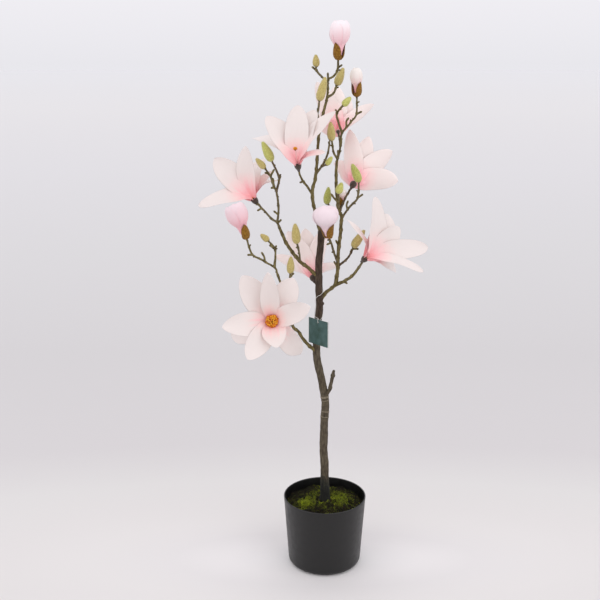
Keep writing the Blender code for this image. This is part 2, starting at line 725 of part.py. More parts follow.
def make_top_spray(boughs, leader):
    mass = Mass("top_spray", boughs)
    stem = mass.twig(leader, None, [
        (0.001, 0.010, 0.972), (0.001, 0.010, 0.988), (0.011, 0.006, 0.995), (0.018, 0.002, 1.006),
        (0.019, 0.000, 1.024),
    ])
    mass.half_open(stem, 3, 0, 0.076, 0.0215, (-25, 110))
    mass.spur(stem, 0.986, (-3, 0.0145))
    mass.spur(stem, 1.010, (57, 0.009))
    right = mass.twig(stem, 0.956, [(0.011, 0.018, 0.963), (0.016, 0.024, 0.973), (0.019, 0.028, 0.981)])
    mass.bud(right, 21, -3, 0.031, 0.0079)
    left = mass.twig(stem, 0.981, [(-0.009, 0.020, 0.992), (-0.021, 0.026, 1.006), (-0.021, 0.028, 1.015)])
    mass.bud(left, -3, 0, 0.019, 0.0064)
    mass.spur(left, 1.005, (-53, 0.0105))
    return mass.finish(leader)


def make_sprays(trunk, boughs):
    low, left, right, riser, leader = boughs
    limbs = [trunk, *boughs]
    sprays = [
        make_low_left_spray(limbs, low),
        make_front_spray(limbs, low),
        make_left_spray(limbs, left),
        make_left_bud_spray(limbs, left),
        make_back_spray(limbs, trunk),
        make_right_spray(limbs, right),
        make_right_bud_spray(limbs, riser),
        make_centre_spray(limbs, riser),
        make_right_upper_spray(limbs, riser),
        make_right_back_spray(limbs, riser),
        make_mid_left_spray(limbs, riser),
        make_mid_spray(limbs, riser),
        make_upper_right_spray(limbs, riser),
        make_upper_left_spray(limbs, leader),
        make_leader_spray(limbs, leader),
        make_tall_bud_spray(limbs, leader),
        make_top_spray(limbs, leader),
    ]
    for spray in sprays:
        paint(spray, (0.86, 0.72, 0.68), 0.8)


def make_tag():
    """A blank card with a round hole near its top edge, turned away from the front."""
    width, height = TAG_WIDTH / 2, TAG_HEIGHT / 2
    corners = [(-width, -height), (width, -height), (width, height), (-width, height)]
    points = [(x, y, z) for y in (-TAG_THICKNESS / 2, TAG_THICKNESS / 2) for x, z in corners]
    tag = mesh_object("tag", points, bridged(2, 4))
    hole_height = TAG_HEIGHT / 2 - TAG_HOLE_DROP
    ends = [Vector((0, side * 0.01, hole_height)) for side in (-1, 1)]
    combine(tag, "DIFFERENCE", [tube(ends, [TAG_HOLE_RADIUS] * 2, 12)])
    tag.data.transform(Matrix.Translation(TAG_CENTRE) @ Matrix.Rotation(TAG_TURN, 4, "Z"))
    paint(tag, (0.01, 0.09, 0.09), 0.6)
    return Matrix.Translation(TAG_CENTRE) @ Matrix.Rotation(TAG_TURN, 4, "Z") @ Vector((0, 0, hole_height))


def thread_place(trunk, share):
    """The thread's middle at this share of its way round the trunk."""
    first, last = THREAD_TURNS[0][0], THREAD_TURNS[-1][0]
    turn = first + (last - first) * share
    for (start, low), (end, high) in zip(THREAD_TURNS, THREAD_TURNS[1:]):
        if start >= turn >= end:
            stage = (start - turn) / (start - end)
            height = low + (high - low) * stage
            crossing = THREAD_CROSSING * sin(pi * stage) if end == last else 0
    centre = trunk.at(height)
    reach = trunk_radius(height) + THREAD_RADIUS + 2 * GAP + crossing
    return centre + reach * Vector((cos(radians(turn)), sin(radians(turn)), 0))


def make_thread(trunk, hole):
    """A thread that winds twice round the trunk, and hangs the tag by its hole with one end over its top edge."""
    loop = [thread_place(trunk, step / THREAD_STEPS) for step in range(THREAD_STEPS + 1)]
    across = Matrix.Rotation(TAG_TURN, 3, "Z") @ Vector((0, 1, 0))
    clear = TAG_THICKNESS / 2 + THREAD_RADIUS + 2 * GAP
    behind = hole + Vector((0, 0, THREAD_SEAT)) + 0.0025 * across
    edge = hole + Vector((0, 0, TAG_HOLE_DROP))
    over = edge + Vector((0, 0, clear))
    loop.append(loop[-1].lerp(behind, 0.5) + Vector((0, 0, -0.0004)))
    loop += [behind, behind - 0.0025 * across, behind - (0.0025 + clear) * across, edge - clear * across, over]
    loop.append(over.lerp(loop[0], 0.5) + Vector((0, 0, -0.0002)))
    thread = tube(loop, [THREAD_RADIUS] * len(loop), THREAD_SIDES, closed=True)
    thread.name = "tag_thread"
    paint(thread, (0.8, 0.8, 0.78), 0.7)


def main():
    remove_start_objects()
    make_pot()
    make_filling()
    make_moss()
    trunk = make_trunk()
    boughs = make_boughs(trunk)
    make_sprays(trunk, boughs)
    hole = make_tag()
    make_thread(trunk, hole)


main()
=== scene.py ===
"""Dresses the silk magnolia tree: bark, silk petals, furry buds, moss, pot and tag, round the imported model.

Sizes are in metres, in the model's frame: the origin is the centre of the pot's flat underside, +Z is up,
+X is to the right and -Y is towards the front. A direction is given as it looks from the front: a clock angle
from straight up, positive to the right, and a lean towards the front, negative towards the back. The limbs
pass the same knees and branch by the same seeded rule as the model's own, a little slimmer, and carry finer
growth. A colour is given as it shows on a screen, from 0 to 255.
"""

from math import cos, pi, radians, sin
from random import Random

import bmesh
import bpy
import numpy as np
from mathutils import Matrix, Vector


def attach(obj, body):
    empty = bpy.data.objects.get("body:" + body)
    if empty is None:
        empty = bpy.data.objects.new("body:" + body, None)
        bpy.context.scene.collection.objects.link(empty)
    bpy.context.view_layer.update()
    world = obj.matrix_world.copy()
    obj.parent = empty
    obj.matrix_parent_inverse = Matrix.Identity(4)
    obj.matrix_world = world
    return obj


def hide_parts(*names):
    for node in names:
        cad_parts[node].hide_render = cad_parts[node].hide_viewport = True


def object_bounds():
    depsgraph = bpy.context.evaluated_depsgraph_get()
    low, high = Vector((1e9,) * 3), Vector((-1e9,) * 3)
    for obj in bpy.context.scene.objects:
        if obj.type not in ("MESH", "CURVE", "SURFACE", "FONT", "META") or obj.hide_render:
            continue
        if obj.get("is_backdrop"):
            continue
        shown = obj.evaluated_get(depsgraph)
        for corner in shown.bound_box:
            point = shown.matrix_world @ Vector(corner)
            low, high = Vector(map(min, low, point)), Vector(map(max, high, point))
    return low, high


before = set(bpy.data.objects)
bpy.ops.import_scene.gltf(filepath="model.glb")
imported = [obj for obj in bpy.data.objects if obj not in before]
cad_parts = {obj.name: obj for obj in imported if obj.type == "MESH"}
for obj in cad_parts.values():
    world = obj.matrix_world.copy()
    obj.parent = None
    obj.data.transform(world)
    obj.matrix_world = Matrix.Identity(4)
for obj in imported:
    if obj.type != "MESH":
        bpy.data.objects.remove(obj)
CAD_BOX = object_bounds()

POT_HEIGHT = 0.1475
POT_RIM_RADIUS = 0.085
POT_FOOT_RADIUS = 0.0755
POT_WALL = 0.0025
POT_FOOT_ROUNDING = 0.012
POT_SEGMENTS = 160
ARC_STEPS = 10

GROUND = 0.1205
MOSS_EDGE = 0.127
MOSS_RISE = 0.010
MOSS_LUMP = 0.0016
MOSS_TUFT = 0.0034
MOSS_RINGS = 44
MOSS_SEGMENTS = 200
MOSS_STRANDS = 11000
# Where the moss is greenest, and where it is thin and brown.
MOSS_SPOTS = ((-0.043, -0.012, 0), (0.030, 0.016, 0))
MOSS_GAPS = ((0.020, -0.036, 0), (-0.018, -0.050, 0), (0.026, 0.060, 0), (-0.040, 0.040, 0))
MOSS_SPOT_RADIUS = 0.019
STRAND_ROWS = 4
STRAND_LENGTHS = (0.005, 0.014)
STRAND_RISES = (0.0, 0.0032)
STRAND_RADII = (0.00018, 0.00036)
GAP = 0.0003

TRUNK_SIDES = 72
BOUGH_SIDES = 30
TWIG_SIDES = 16
STUB_SIDES = 10
LIMB_STEP = 0.013
TRUNK_FINE_STEP = 0.0016
FINE_STEP = 0.0020
LIMB_SLIMNESS = 0.86
TWIG_ROOT = 0.0026
TWIG_TIP = 0.0021
# How far the swelling at a limb's root and at its knots reaches along it.
ROOT_SWELLING = 0.0045
KNOT_SWELLING = 0.0025
STUB_SPACING = 0.034
STUB_LENGTH = 0.0045
STUB_RADIUS = 0.0016
# By the share of a stub's length, its share of STUB_RADIUS: it swells to a blunt bud at its end.
STUB_PROFILE = ((0, 1.25), (0.35, 0.95), (0.6, 0.85), (0.78, 1.0), (0.92, 0.95), (1.0, 0.70), (1.06, 0.35),
                (1.08, 0.05))
BOUGH_KNOTS = 0.018
NUB_SPACING = 0.012
NUB_STAND = 0.0012
NUB_PROFILE = ((0, 0.0013), (0.4, 0.0014), (0.75, 0.0009), (1.0, 0.0002))
SPUR_RADIUS = 0.0020
SPUR_TAPER = 0.0003
SPUR_ROOT_SWELLING = 0.0011
SPUR_TIP_SWELLING = 0.0004
SPUR_STEP = 0.0012
# How deep the bark's ridges are.
TRUNK_RIDGES = 0.00022
BOUGH_RIDGES = 0.00032
TWIG_RIDGES = 0.00022
SPUR_RIDGES = 0.0002
GOLDEN_TURN = radians(137.5)

TRUNK_KNEES = [
    (0.000, 0.000, 0.185),
    (-0.003, 0.000, 0.270),
    (-0.001, 0.000, 0.359),
    (-0.015, 0.000, 0.432),
    (-0.019, 0.000, 0.474),
    (-0.018, 0.000, 0.505),
    (-0.013, 0.000, 0.558),
    (-0.015, 0.000, 0.611),
    (-0.014, 0.000, 0.647),
    (-0.010, 0.000, 0.703),
]
TRUNK_FOOT_X = 0.0005
TRUNK_FLARE = 0.0138
TRUNK_FLARE_HEIGHT = 0.012
TRUNK_ROOT = 0.0088
TRUNK_TIP = 0.0066
# The heights above which the trunk's bark is darker, and below which it steps down through three tints of
# painted shade into the pot's mouth.
UPPER_BARK = 0.50
PAINTED_SHADE_HEIGHTS = (0.192, 0.180, 0.168)
# The waves of the trunk's root flare: how often each goes round, its drift and its start.
TRUNK_ROOTS = ((3, 0, 0.4), (5, 0, 2.1), (8, 0, 4.0))
# Old scars that ring the trunk: height, width and how far they stand out.
TRUNK_RINGS = [(0.3210, 0.0012, 0.0005), (0.3325, 0.0014, 0.0007), (0.3560, 0.0012, 0.0005),
               (0.3640, 0.0022, 0.0007), (0.4560, 0.0030, 0.0006), (0.6130, 0.0040, 0.0006)]

# The spur that was pruned from the trunk, and the bump above it.
PRUNED_SPUR_HEIGHT = 0.363
PRUNED_SPUR_KNEES = [(0.009, -0.005, 0.385), (0.013, -0.008, 0.407), (0.016, -0.010, 0.422)]
PRUNED_SPUR_KNOTS = (0.42, 0.83, 0.86)
BUMP_HEIGHT = 0.559
BUMP_PATH = ((0, 0, 0), (0.006, -0.001, 0.0005), (0.0085, -0.002, 0.001), (0.0092, -0.002, 0.001))
BUMP_RADII = (0.0040, 0.0036, 0.0024, 0.0004)

PETAL_LENGTH = 0.112
PETAL_WIDTH = 0.050
PETAL_THICKNESS = 0.0007
PETAL_CLAW = 0.30
PETAL_WIDEST = 0.56
PETAL_TIP = 0.05
PETAL_CUP = 0.20
PETAL_RIPPLE = 0.0013
PETAL_CREASE = 0.0010
PETAL_VEIN = 0.00018
PETAL_ROWS = 34
PETAL_COLUMNS = 15
PETAL_SHADES = 18
BLOOM_SHADES = 20
# Where the colour of a closed cup starts to change, and over what share of its length it does.
BLOOM_BLUSH = 0.22
BLOOM_FADE = 0.62
# How far a wrapped petal reaches round its cup to either side of its middle, and its own folds.
WRAP_REACH = radians(78)
WRAP_RIPPLE = 0.0004
WRAP_CREASE = 0.0005
# The wrapped petals of a closed cup: which are in its inner layer, and the turn of each one's middle.
WRAPPED_PETALS = ((True, 60), (True, 180), (True, 300), (False, 240), (False, 120), (False, 0))

CALYX_LENGTH = 0.0175
CALYX_RADIUS = 0.0066
CALYX_FOLD = 0.00032
CALYX_CREASE = 0.00014
SEPAL_LENGTH = 0.030
SEPAL_WIDTH = 0.021
SEPAL_THICKNESS = 0.0012
SEPAL_BULGE = 0.0007
# How far a sepal stays clear of its cup at least.
SEPAL_CLEARANCE = 0.0015
# Collars under a bud and under a cup, and the core of a flower's boss: heights and radii.
BUD_COLLAR = ((0, 0.0020), (0.001, 0.0030), (0.0028, 0.0036), (0.0040, 0.0030), (0.0044, 0.0012))
CUP_COLLAR = ((0, 0.0026), (0.0012, 0.0050), (0.003, 0.0066), (0.006, 0.0072), (0.009, 0.0070),
              (0.010, 0.0030))
BOSS_CORE = ((0, 0.0032), (0.004, 0.0036), (0.008, 0.0062), (0.013, 0.0070), (0.0165, 0.0056),
             (0.0190, 0.0030), (0.0200, 0.0003))
BOSS_MIDDLE = 0.0125
BOSS_STALK_RADIUS = 0.0020
STAMEN_COUNT = 58
STAMEN_REACH = 0.0118
# The shares of a stamen's reach that its straight stalk and its bent club take, and its radii there.
STAMEN_STALK = (0.42, 0.66)
STAMEN_CLUB = (0.86, 0.97, 1.02)
STAMEN_RADII = (0.0006, 0.0010, 0.0015, 0.0011, 0.0003)
BUD_ROOT = 0.003
BRACT_STEP = 0.00055
FUR_SPACING = 0.00052
HAIR_LENGTHS = (0.0011, 0.0022)
HAIR_RADIUS = 0.00010

PROFILE_STEP = 0.02
BUD_PROFILE = ((0.0, 0.50), (0.08, 0.82), (0.28, 1.03), (0.55, 0.93), (0.8, 0.64), (0.95, 0.34), (1.0, 0.14))
BLOOM_PROFILE = ((0.0, 0.22), (0.2, 0.36), (0.36, 0.50), (0.5, 0.84), (0.66, 1.0))
SEPAL_OUTLINE = ((0.0, 0.50), (0.15, 0.84), (0.38, 1.0), (0.65, 0.84), (0.88, 0.46), (1.0, 0.08))
# How far a sepal stands from the middle of its cup, by the share of its length.
SEPAL_STAND = ((0.0, 0.0030), (0.06, 0.0064), (0.16, 0.0086), (0.35, 0.0100), (0.7, 0.0104), (1.0, 0.0110))
CALYX_PROFILE = ((0.0, 0.34), (0.22, 0.50), (0.42, 0.82), (0.66, 1.0), (0.90, 1.0), (1.0, 0.80))

# Each open flower: the way that its axis faces, then by petal its clock angle, its lean, its share of full
# length and, where it differs from full width, its share of that.
FLOWERS = {
    "front": ((0, 72), ((-6, 20, 0.97, 0.74), (26, 4, 0.84), (58, 34, 0.89, 0.80), (144, -20, 0.90, 0.84),
                        (157, 62, 0.62, 0.94), (-142, 45, 0.86, 0.92), (-115, -20, 0.88),
                        (-91, 28, 0.9, 0.95), (-30, 8, 0.96, 1.08))),
    "left": ((-30, 35), ((-97, 14, 0.96, 0.8), (-43, -12, 0.98), (-9, 4, 0.93, 0.85), (14, -40, 0.92, 0.8),
                         (38, -30, 0.66, 0.5), (60, -45, 0.8, 0.6))),
    "upper_left": ((-8, 30), ((-64, -45, 1.28, 0.80), (-34, -10, 0.96, 1.0), (0, -8, 0.97, 0.9),
                              (19, -14, 0.95, 0.9), (35, 0, 1.08, 0.66), (62, 20, 0.54, 0.35))),
    "upper_back": ((10, -75), ((-1, -42, 0.98, 0.8), (24, -50, 0.85, 0.8), (59, -38, 0.98, 0.52),
                               (-90, -60, 0.6, 0.8), (-22, -30, 1.02, 0.85), (-50, -60, 0.75, 0.8))),
    "right_back": ((45, -75), ((-7, -30, 1.02, 0.80), (20, -38, 1.02, 0.9), (53, -32, 1.02, 0.9),
                               (91, -34, 0.98, 0.95), (-46, -55, 0.72, 0.8), (112, -66, 0.6, 0.6))),
    "right": ((56, 33), ((8, -6, 1.04, 1.05), (31, -26, 0.90, 1.25), (52, -14, 0.80, 0.9),
                         (81, -14, 1.12, 0.8), (102, 12, 1.0, 0.45), (124, -35, 0.85, 0.6),
                         (-27, 18, 0.80, 0.35))),
    "back": ((-15, -75), ((-33, -32, 1.0, 0.8), (-68, -38, 0.95, 0.55), (-10, -42, 1.0, 0.8),
                          (18, -42, 1.0, 0.8), (77, -55, 0.80, 0.45), (-95, -65, 0.8, 0.5))),
}

TAG_WIDTH = 0.056
TAG_HEIGHT = 0.052
TAG_THICKNESS = 0.0008
# The white margin down each side of the card, and how far its face stands out from the print.
TAG_MARGIN = 0.0010
TAG_PRINT = 0.00004
TAG_CENTRE = Vector((-0.0155, -0.020, 0.506))
TAG_TURN = radians(-48)
TAG_HOLE_RADIUS = 0.0016
TAG_HOLE_DROP = 0.006
TAG_HOLE_SIDES = 32
THREAD_RADIUS = 0.0005
THREAD_SEAT = 0.00075
THREAD_STEPS = 24
# The thread's way round the trunk: the turn in degrees from +X towards the back, and the height.
THREAD_TURNS = ((195, 0.5345), (75, 0.587), (10, 0.588), (-45, 0.5814), (-127, 0.5749), (-370, 0.5336))
THREAD_CROSSING = 0.0014
# How far the thread's loop runs on behind the card before it turns up to the trunk.
THREAD_BEHIND = 0.0025
PLY_TURN = 0.0022
PLY_OFFSET = 0.00025
PLY_RADIUS = 0.00026

CAMERA_PLACE = Vector((-0.0515, -1.746, 1.018))
CAMERA_PITCH = radians(-14.5)
CAMERA_LENS = 54.9

FLOOR_RADIUS = 150.0
# The floor's tints, each at the tens logarithm of its distance from the pot: painted light and shade, palest
# round the pot and far away, greyer between.
FLOOR_PAINTED_LIGHT = ((-1.5, (240, 238, 237)), (-1.15, (234, 231, 230)), (-0.95, (225, 222, 221)),
               (-0.75, (224, 221, 219)), (-0.6, (221, 218, 216)), (-0.42, (218, 216, 214)),
               (-0.22, (209, 206, 206)), (0.16, (206, 204, 204)), (0.52, (211, 210, 210)),
               (0.86, (216, 215, 216)), (1.28, (221, 220, 220)), (1.75, (222, 222, 223)),
               (2.2, (222, 222, 224)))
# Its distance to the left and right counts by this share, which stretches the painted light sideways.
FLOOR_SQUEEZE = 0.35
# Each lamp's turn from the front towards the right, its height, both in degrees, and its strength.
STUDIO_LAMPS = (("left", -62, 32, 0.46), ("right", 64, 30, 0.56), ("front", 12, 12, 0.34),
                ("back", 175, 45, 0.14))
# The studio's tint by height: at the horizon, and from this share of the way to straight up.
STUDIO_TINTS = ((0.0, (232, 231, 236)), (0.07, (240, 238, 243)))
LAMP_WIDTH = radians(70)

# Tints

# Barks mottled from dark through middle to pale. The trunk's: plain, scarred, upper, and three of painted
# shade at its foot, from light to deep.
TRUNK_BARKS = {
    "bark": ((56, 47, 34), (77, 68, 53), (99, 90, 73)),
    "bark_scar": ((92, 84, 68), (120, 110, 92), (140, 130, 110)),
    "bark_upper": ((46, 35, 25), (63, 50, 38), (84, 70, 56)),
    "bark_painted_shade_light": ((32, 29, 20), (46, 42, 31), (62, 57, 44)),
    "bark_painted_shade_middle": ((24, 23, 15), (34, 34, 24), (46, 45, 34)),
    "bark_painted_shade_deep": ((10, 11, 5), (17, 18, 10), (27, 28, 18)),
}
PLAIN_BARK, SCAR_BARK, DARK_BARK, PAINTED_SHADE_BARK = range(4)
BOUGH_BARKS = {"bough_bark": ((72, 62, 34), (104, 93, 54), (134, 122, 80))}
TWIG_BARKS = {
    "twig_bark_olive": ((70, 61, 33), (102, 92, 55), (130, 120, 80)),
    "twig_bark_brown": ((62, 49, 33), (90, 75, 52), (118, 104, 76)),
    "twig_bark_grey": ((70, 61, 40), (102, 92, 63), (130, 120, 88)),
}
# Silks, by their tints at stops from a petal's heart to its tip. The brighter petal_back_painted_glow silks
# for its outer side are painted light, standing for light shining through the silk.
PETAL_STOPS = (0.0, 0.22, 0.5, 0.78, 1.0)
PETAL_SILKS = {
    "petal_silk": ((250, 182, 184), (249, 197, 198), (243, 211, 207), (234, 220, 215), (232, 221, 216)),
    "petal_back_painted_glow": ((250, 173, 177), (252, 194, 196), (250, 217, 213), (248, 231, 226), (248, 234, 229)),
}
BLOOM_STOPS = (0.0, 0.3, 0.65, 1.0)
BLOOM_SILKS = {
    "bloom_silk": ((249, 184, 192), (249, 202, 208), (246, 217, 220), (250, 236, 239)),
    "cream_silk": ((244, 172, 174), (244, 210, 205), (242, 229, 222), (244, 237, 230)),
    "rose_silk": ((242, 178, 186), (241, 198, 204), (237, 207, 212), (239, 221, 226)),
}
PINK, CREAM, ROSE = range(3)
# Felts: dark and pale tints, and sheen.
SEPAL_FELTS = {
    "sepal_felt": ((112, 76, 20), (154, 112, 42), 0.08),
    "calyx_felt": ((56, 44, 38), (84, 68, 58), 0.25),
    "bud_collar": ((72, 62, 38), (104, 92, 58), 0.25),
    "sepal_lining": ((92, 52, 30), (126, 80, 50), 0.08),
}
SEPAL, CALYX, COLLAR, LINING = range(4)
STAMEN_FELTS = {
    "stamen_column": ((110, 60, 14), (150, 88, 24), 0.05),
    "stamen_gold": ((228, 154, 34), (246, 188, 66), 0.05),
    "stamen_orange": ((204, 104, 28), (228, 134, 44), 0.05),
    "stamen_stalk": ((248, 200, 196), (252, 212, 208), 0.05),
}
CORE, GOLD, ORANGE, STALK = range(4)
BUD_FELTS = {
    "bud_tan": ((176, 158, 92), (204, 188, 122), 0.25),
    "bud_green": ((158, 162, 78), (190, 192, 108), 0.25),
    "bud_lime": ((180, 180, 92), (208, 208, 124), 0.25),
}
BUD_FURS = {"fur_tan": (222, 209, 156), "fur_green": (212, 212, 142), "fur_lime": (216, 218, 142)}
TAN, GREEN, LIME = range(3)
# The moss's tints: near black, brown, dark green, olive and bright green.
MOSS_TINTS = ((20, 19, 8), (64, 49, 26), (48, 54, 12), (106, 116, 20), (172, 188, 42))


# Geometry shared by all the pieces

def pointing(clock, lean=0):
    """The unit vector that points this way."""
    clock, lean = radians(clock), radians(lean)
    return Vector((sin(clock) * cos(lean), -sin(lean), cos(clock) * cos(lean)))


def smooth_curve(knees, step):
    """Points at about this step on a curve that passes through the knees."""
    knees = [Vector(knee) for knee in knees]
    ends = [2 * knees[0] - knees[1]] + knees + [2 * knees[-1] - knees[-2]]
    path = []
    for four in zip(ends, ends[1:], ends[2:], ends[3:]):
        path += curve_span(*four, step)
    path.append(knees[-1])
    return path


def curve_span(before, start, end, after, step):
    """Points on a smooth curve from the start up to the end, between the knees before and after."""
    count = max(1, round((end - start).length / step))
    span = []
    for index in range(count):
        t = index / count
        span.append(0.5 * (2 * start + (end - before) * t
                           + (2 * before - 5 * start + 4 * end - after) * t ** 2
                           + (3 * start - before - 3 * end + after) * t ** 3))
    return span


def closed_curve(knees, step):
    """Points at about this step on a closed curve that passes through the knees."""
    path = []
    for four in zip(knees[-1:] + knees, knees, knees[1:] + knees[:1], knees[2:] + knees[:2]):
        path += curve_span(*four, step)
    return path


def profile_width(profile, share):
    """The width of a turned body at each share of its length, on a smooth curve through the profile."""
    curve = smooth_curve([(x, width, 0) for x, width in profile], PROFILE_STEP)
    return np.interp(share, [point.x for point in curve], [point.y for point in curve])


def waves(seed, count, slowest, fastest):
    """Plane waves for a rough pattern that repeats nowhere near: direction and start of each."""
    rule = np.random.default_rng(seed)
    directions = rule.normal(size=(count, 3))
    directions /= np.linalg.norm(directions, axis=1, keepdims=True)
    speeds = np.geomspace(slowest, fastest, count)[:, None]
    return directions * speeds, rule.uniform(0, 2 * pi, count)


def rough(places, pattern):
    """A value from about -1 to 1 at each place, from a pattern of waves."""
    directions, starts = pattern
    total = np.sin(places @ directions.T + starts).sum(axis=-1)
    return total / np.sqrt(len(starts)) * 0.8


def ring_waves(rule, count, turns, drifts):
    """Waves round an axis: how often each goes round, how it drifts along the axis, and its start."""
    return [(rule.randint(*turns), rule.uniform(*drifts), rule.uniform(0, 2 * pi)) for _ in range(count)]


def wave_sum(drawn, along, turn):
    """The sum of waves round an axis at each place along it and round it."""
    return sum(np.sin(count * turn + drift * along + start) for count, drift, start in drawn)


def grid_faces(rows, columns):
    """The quads of a grid of points, whose last column meets its first."""
    row = np.arange(rows - 1)[:, None] * columns
    column = np.arange(columns)[None, :]
    beside = (column + 1) % columns
    corners = [row + column, row + beside, row + columns + beside, row + columns + column]
    return np.stack(np.broadcast_arrays(*corners), axis=-1).reshape(-1, 4)


def frames(path):
    """Two unit vectors across the path at each of its points, which follow it without a twist."""
    headings = np.gradient(path, axis=0)
    headings /= np.linalg.norm(headings, axis=1, keepdims=True)
    across = np.array(Vector(headings[0]).orthogonal().normalized())
    rows = []
    for heading in headings:
        across = across - across @ heading * heading
        across = across / np.linalg.norm(across)
        rows.append(across)
    across = np.array(rows)
    return across, np.cross(headings, across)


def distances(path):
    """How far along the path each of its points lies."""
    return np.concatenate([[0], np.cumsum(np.linalg.norm(np.diff(path, axis=0), axis=1))])


class Shape:
    """Points and faces that are joined into one piece, with the number of each face's material."""

    def __init__(self, name):
        self.name = name
        self.points = []
        self.faces = []
        self.shades = []
        self.total = 0

    def add(self, points, faces, shades=0, caps=()):
        """Adds a body. Its faces have one shade or a shade each, and its end caps take the last one."""
        points = np.asarray(points, float).reshape(-1, 3)
        faces = np.asarray(faces)
        self.faces += (faces + self.total).tolist()
        self.shades += np.broadcast_to(shades, len(faces)).tolist()
        for cap in caps:
            self.faces.append([int(corner) + self.total for corner in cap])
            self.shades.append(self.shades[-1])
        self.points.append(points)
        self.total += len(points)

    def tube(self, path, radii, sides, shades=0, relief=None):
        """A tube along the path. relief(along, turn) says how far its surface stands out."""
        path = np.array(path, float)
        across, up = frames(path)
        turn = 2 * pi * np.arange(sides) / sides
        radius = np.broadcast_to(np.asarray(radii, float)[:, None], (len(path), sides))
        if relief is not None:
            radius = radius + relief(distances(path)[:, None], turn[None, :])
        spokes = np.cos(turn)[:, None] * across[:, None, :] + np.sin(turn)[:, None] * up[:, None, :]
        points = path[:, None, :] + radius[:, :, None] * spokes
        self.rings(points, shades)

    def rings(self, points, shades=0):
        """A body of rings of points, closed by a cap at each end."""
        rows, sides = points.shape[:2]
        last = (rows - 1) * sides
        caps = [range(sides - 1, -1, -1), range(last, last + sides)]
        self.add(points, grid_faces(rows, sides), shades, caps)

    def turned(self, base, axis, heights, radii, sides, shades=0, relief=None):
        """A body turned about the axis, with a ring at each height."""
        path = np.array(base) + np.asarray(heights)[:, None] * np.array(axis)
        self.tube(path, radii, sides, shades, relief)

    def piece(self, materials, slot, nodes=()):
        """The finished piece, in these materials."""
        mesh = bpy.data.meshes.new(self.name)
        mesh.from_pydata(np.concatenate(self.points).tolist(), [], self.faces)
        mesh.polygons.foreach_set("material_index", self.shades)
        mesh.shade_smooth()
        add_piece(mesh, materials, nodes)


def add_piece(mesh, materials, nodes=()):
    """The mesh as a piece that moves with the tree and stands for these nodes."""
    for material in materials:
        mesh.materials.append(material)
    thing = bpy.data.objects.new(mesh.name, mesh)
    bpy.context.scene.collection.objects.link(thing)
    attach(thing, "root")
    if nodes:
        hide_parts(*nodes)


# Materials

def linear(tint):
    """A colour as Blender mixes it, from a tint as it shows on a screen."""
    return tuple((value / 255) ** 2.2 for value in tint)


class Nodes:
    """The nodes of a material or of the studio's light."""

    def __init__(self, tree):
        self.tree = tree

    def node(self, kind, inputs=(), **settings):
        """A new node with these values or links on its inputs, and these settings."""
        made = self.tree.nodes.new(kind)
        for setting, value in settings.items():
            setattr(made, setting, value)
        for socket, value in dict(inputs).items():
            if isinstance(value, bpy.types.NodeSocket):
                self.tree.links.new(value, made.inputs[socket])
            else:
                made.inputs[socket].default_value = value
        return made

    def ramp(self, value, stops):
        """Colours dealt out by the value, from stops of position and tint."""
        ramp = self.node("ShaderNodeValToRGB", {"Fac": value})
        elements = ramp.color_ramp.elements
        elements[0].position, elements[0].color = stops[0][0], (*linear(stops[0][1]), 1)
        elements[1].position, elements[1].color = stops[-1][0], (*linear(stops[-1][1]), 1)
        for position, tint in stops[1:-1]:
            elements.new(position).color = (*linear(tint), 1)
        return ramp.outputs["Color"]


class Material(Nodes):
    """A Principled material with a few nodes for its colour, roughness and relief."""

    def __init__(self, name, colour, roughness, **sockets):
        self.data = bpy.data.materials.new(name)
        self.data.use_nodes = True
        super().__init__(self.data.node_tree)
        self.shader = self.tree.nodes["Principled BSDF"]
        self.shader.inputs["Base Color"].default_value = (*colour, 1)
        self.shader.inputs["Roughness"].default_value = roughness
        for socket, value in sockets.items():
            self.shader.inputs[socket.replace("_", " ")].default_value = value
        self.place = self.node("ShaderNodeTexCoord").outputs["Object"]

    def noise(self, scale, detail=3.0, stretch=(1, 1, 1)):
        """Noise at this scale, pulled out along an axis where its stretch is under 1."""
        place = self.node("ShaderNodeMapping", {"Vector": self.place, "Scale": stretch}).outputs["Vector"]
        noise = self.node("ShaderNodeTexNoise", {"Vector": place, "Scale": scale, "Detail": detail})
        return noise.outputs["Fac"]

    def colours(self, value, stops):
        """Its colour, dealt out by the value."""
        self.tree.links.new(self.ramp(value, stops), self.shader.inputs["Base Color"])

    def roughness(self, value, low, high):
        """Its roughness, which wanders from low to high with the value."""
        spread = self.node("ShaderNodeMapRange", {"Value": value, "From Min": 0.3, "From Max": 0.7,
                                                  "To Min": low, "To Max": high})
        self.tree.links.new(spread.outputs["Result"], self.shader.inputs["Roughness"])

    def relief(self, value, distance, strength=1.0):
        """Its fine relief, which the value raises by this distance."""
        bump = self.node("ShaderNodeBump", {"Height": value, "Distance": distance, "Strength": strength})
        self.tree.links.new(bump.outputs["Normal"], self.shader.inputs["Normal"])


def silk_materials(silks, stops, count):
    """Plain silks of each kind, from the heart's tint to the tip's, to be dealt out along each petal."""
    made = []
    for name, tints in silks.items():
        bands = np.array([linear(tint) for tint in tints]).T
        for number in range(count):
            colour = [np.interp(number / (count - 1), stops, band) for band in bands]
            silk = Material(f"{name}_{number}", colour, 0.62, Sheen_Weight=0.2, Sheen_Roughness=0.5)
            silk.relief(silk.noise(1500, 2.0), 0.00006, 0.5)
            made.append(silk.data)
    return made


def bark_materials(barks):
    """Barks with long grain, mottled in these tints."""
    made = []
    for name, (dark, middle, pale) in barks.items():
        bark = Material(name, linear(middle), 0.82)
        bark.colours(bark.noise(260, 5.0, (1, 1, 0.35)), [(0.30, dark), (0.5, middle), (0.72, pale)])
        bark.relief(bark.noise(1400, 4.0, (1, 1, 0.4)), 0.0003, 0.7)
        bark.roughness(bark.noise(500), 0.7, 0.95)
        made.append(bark.data)
    return made


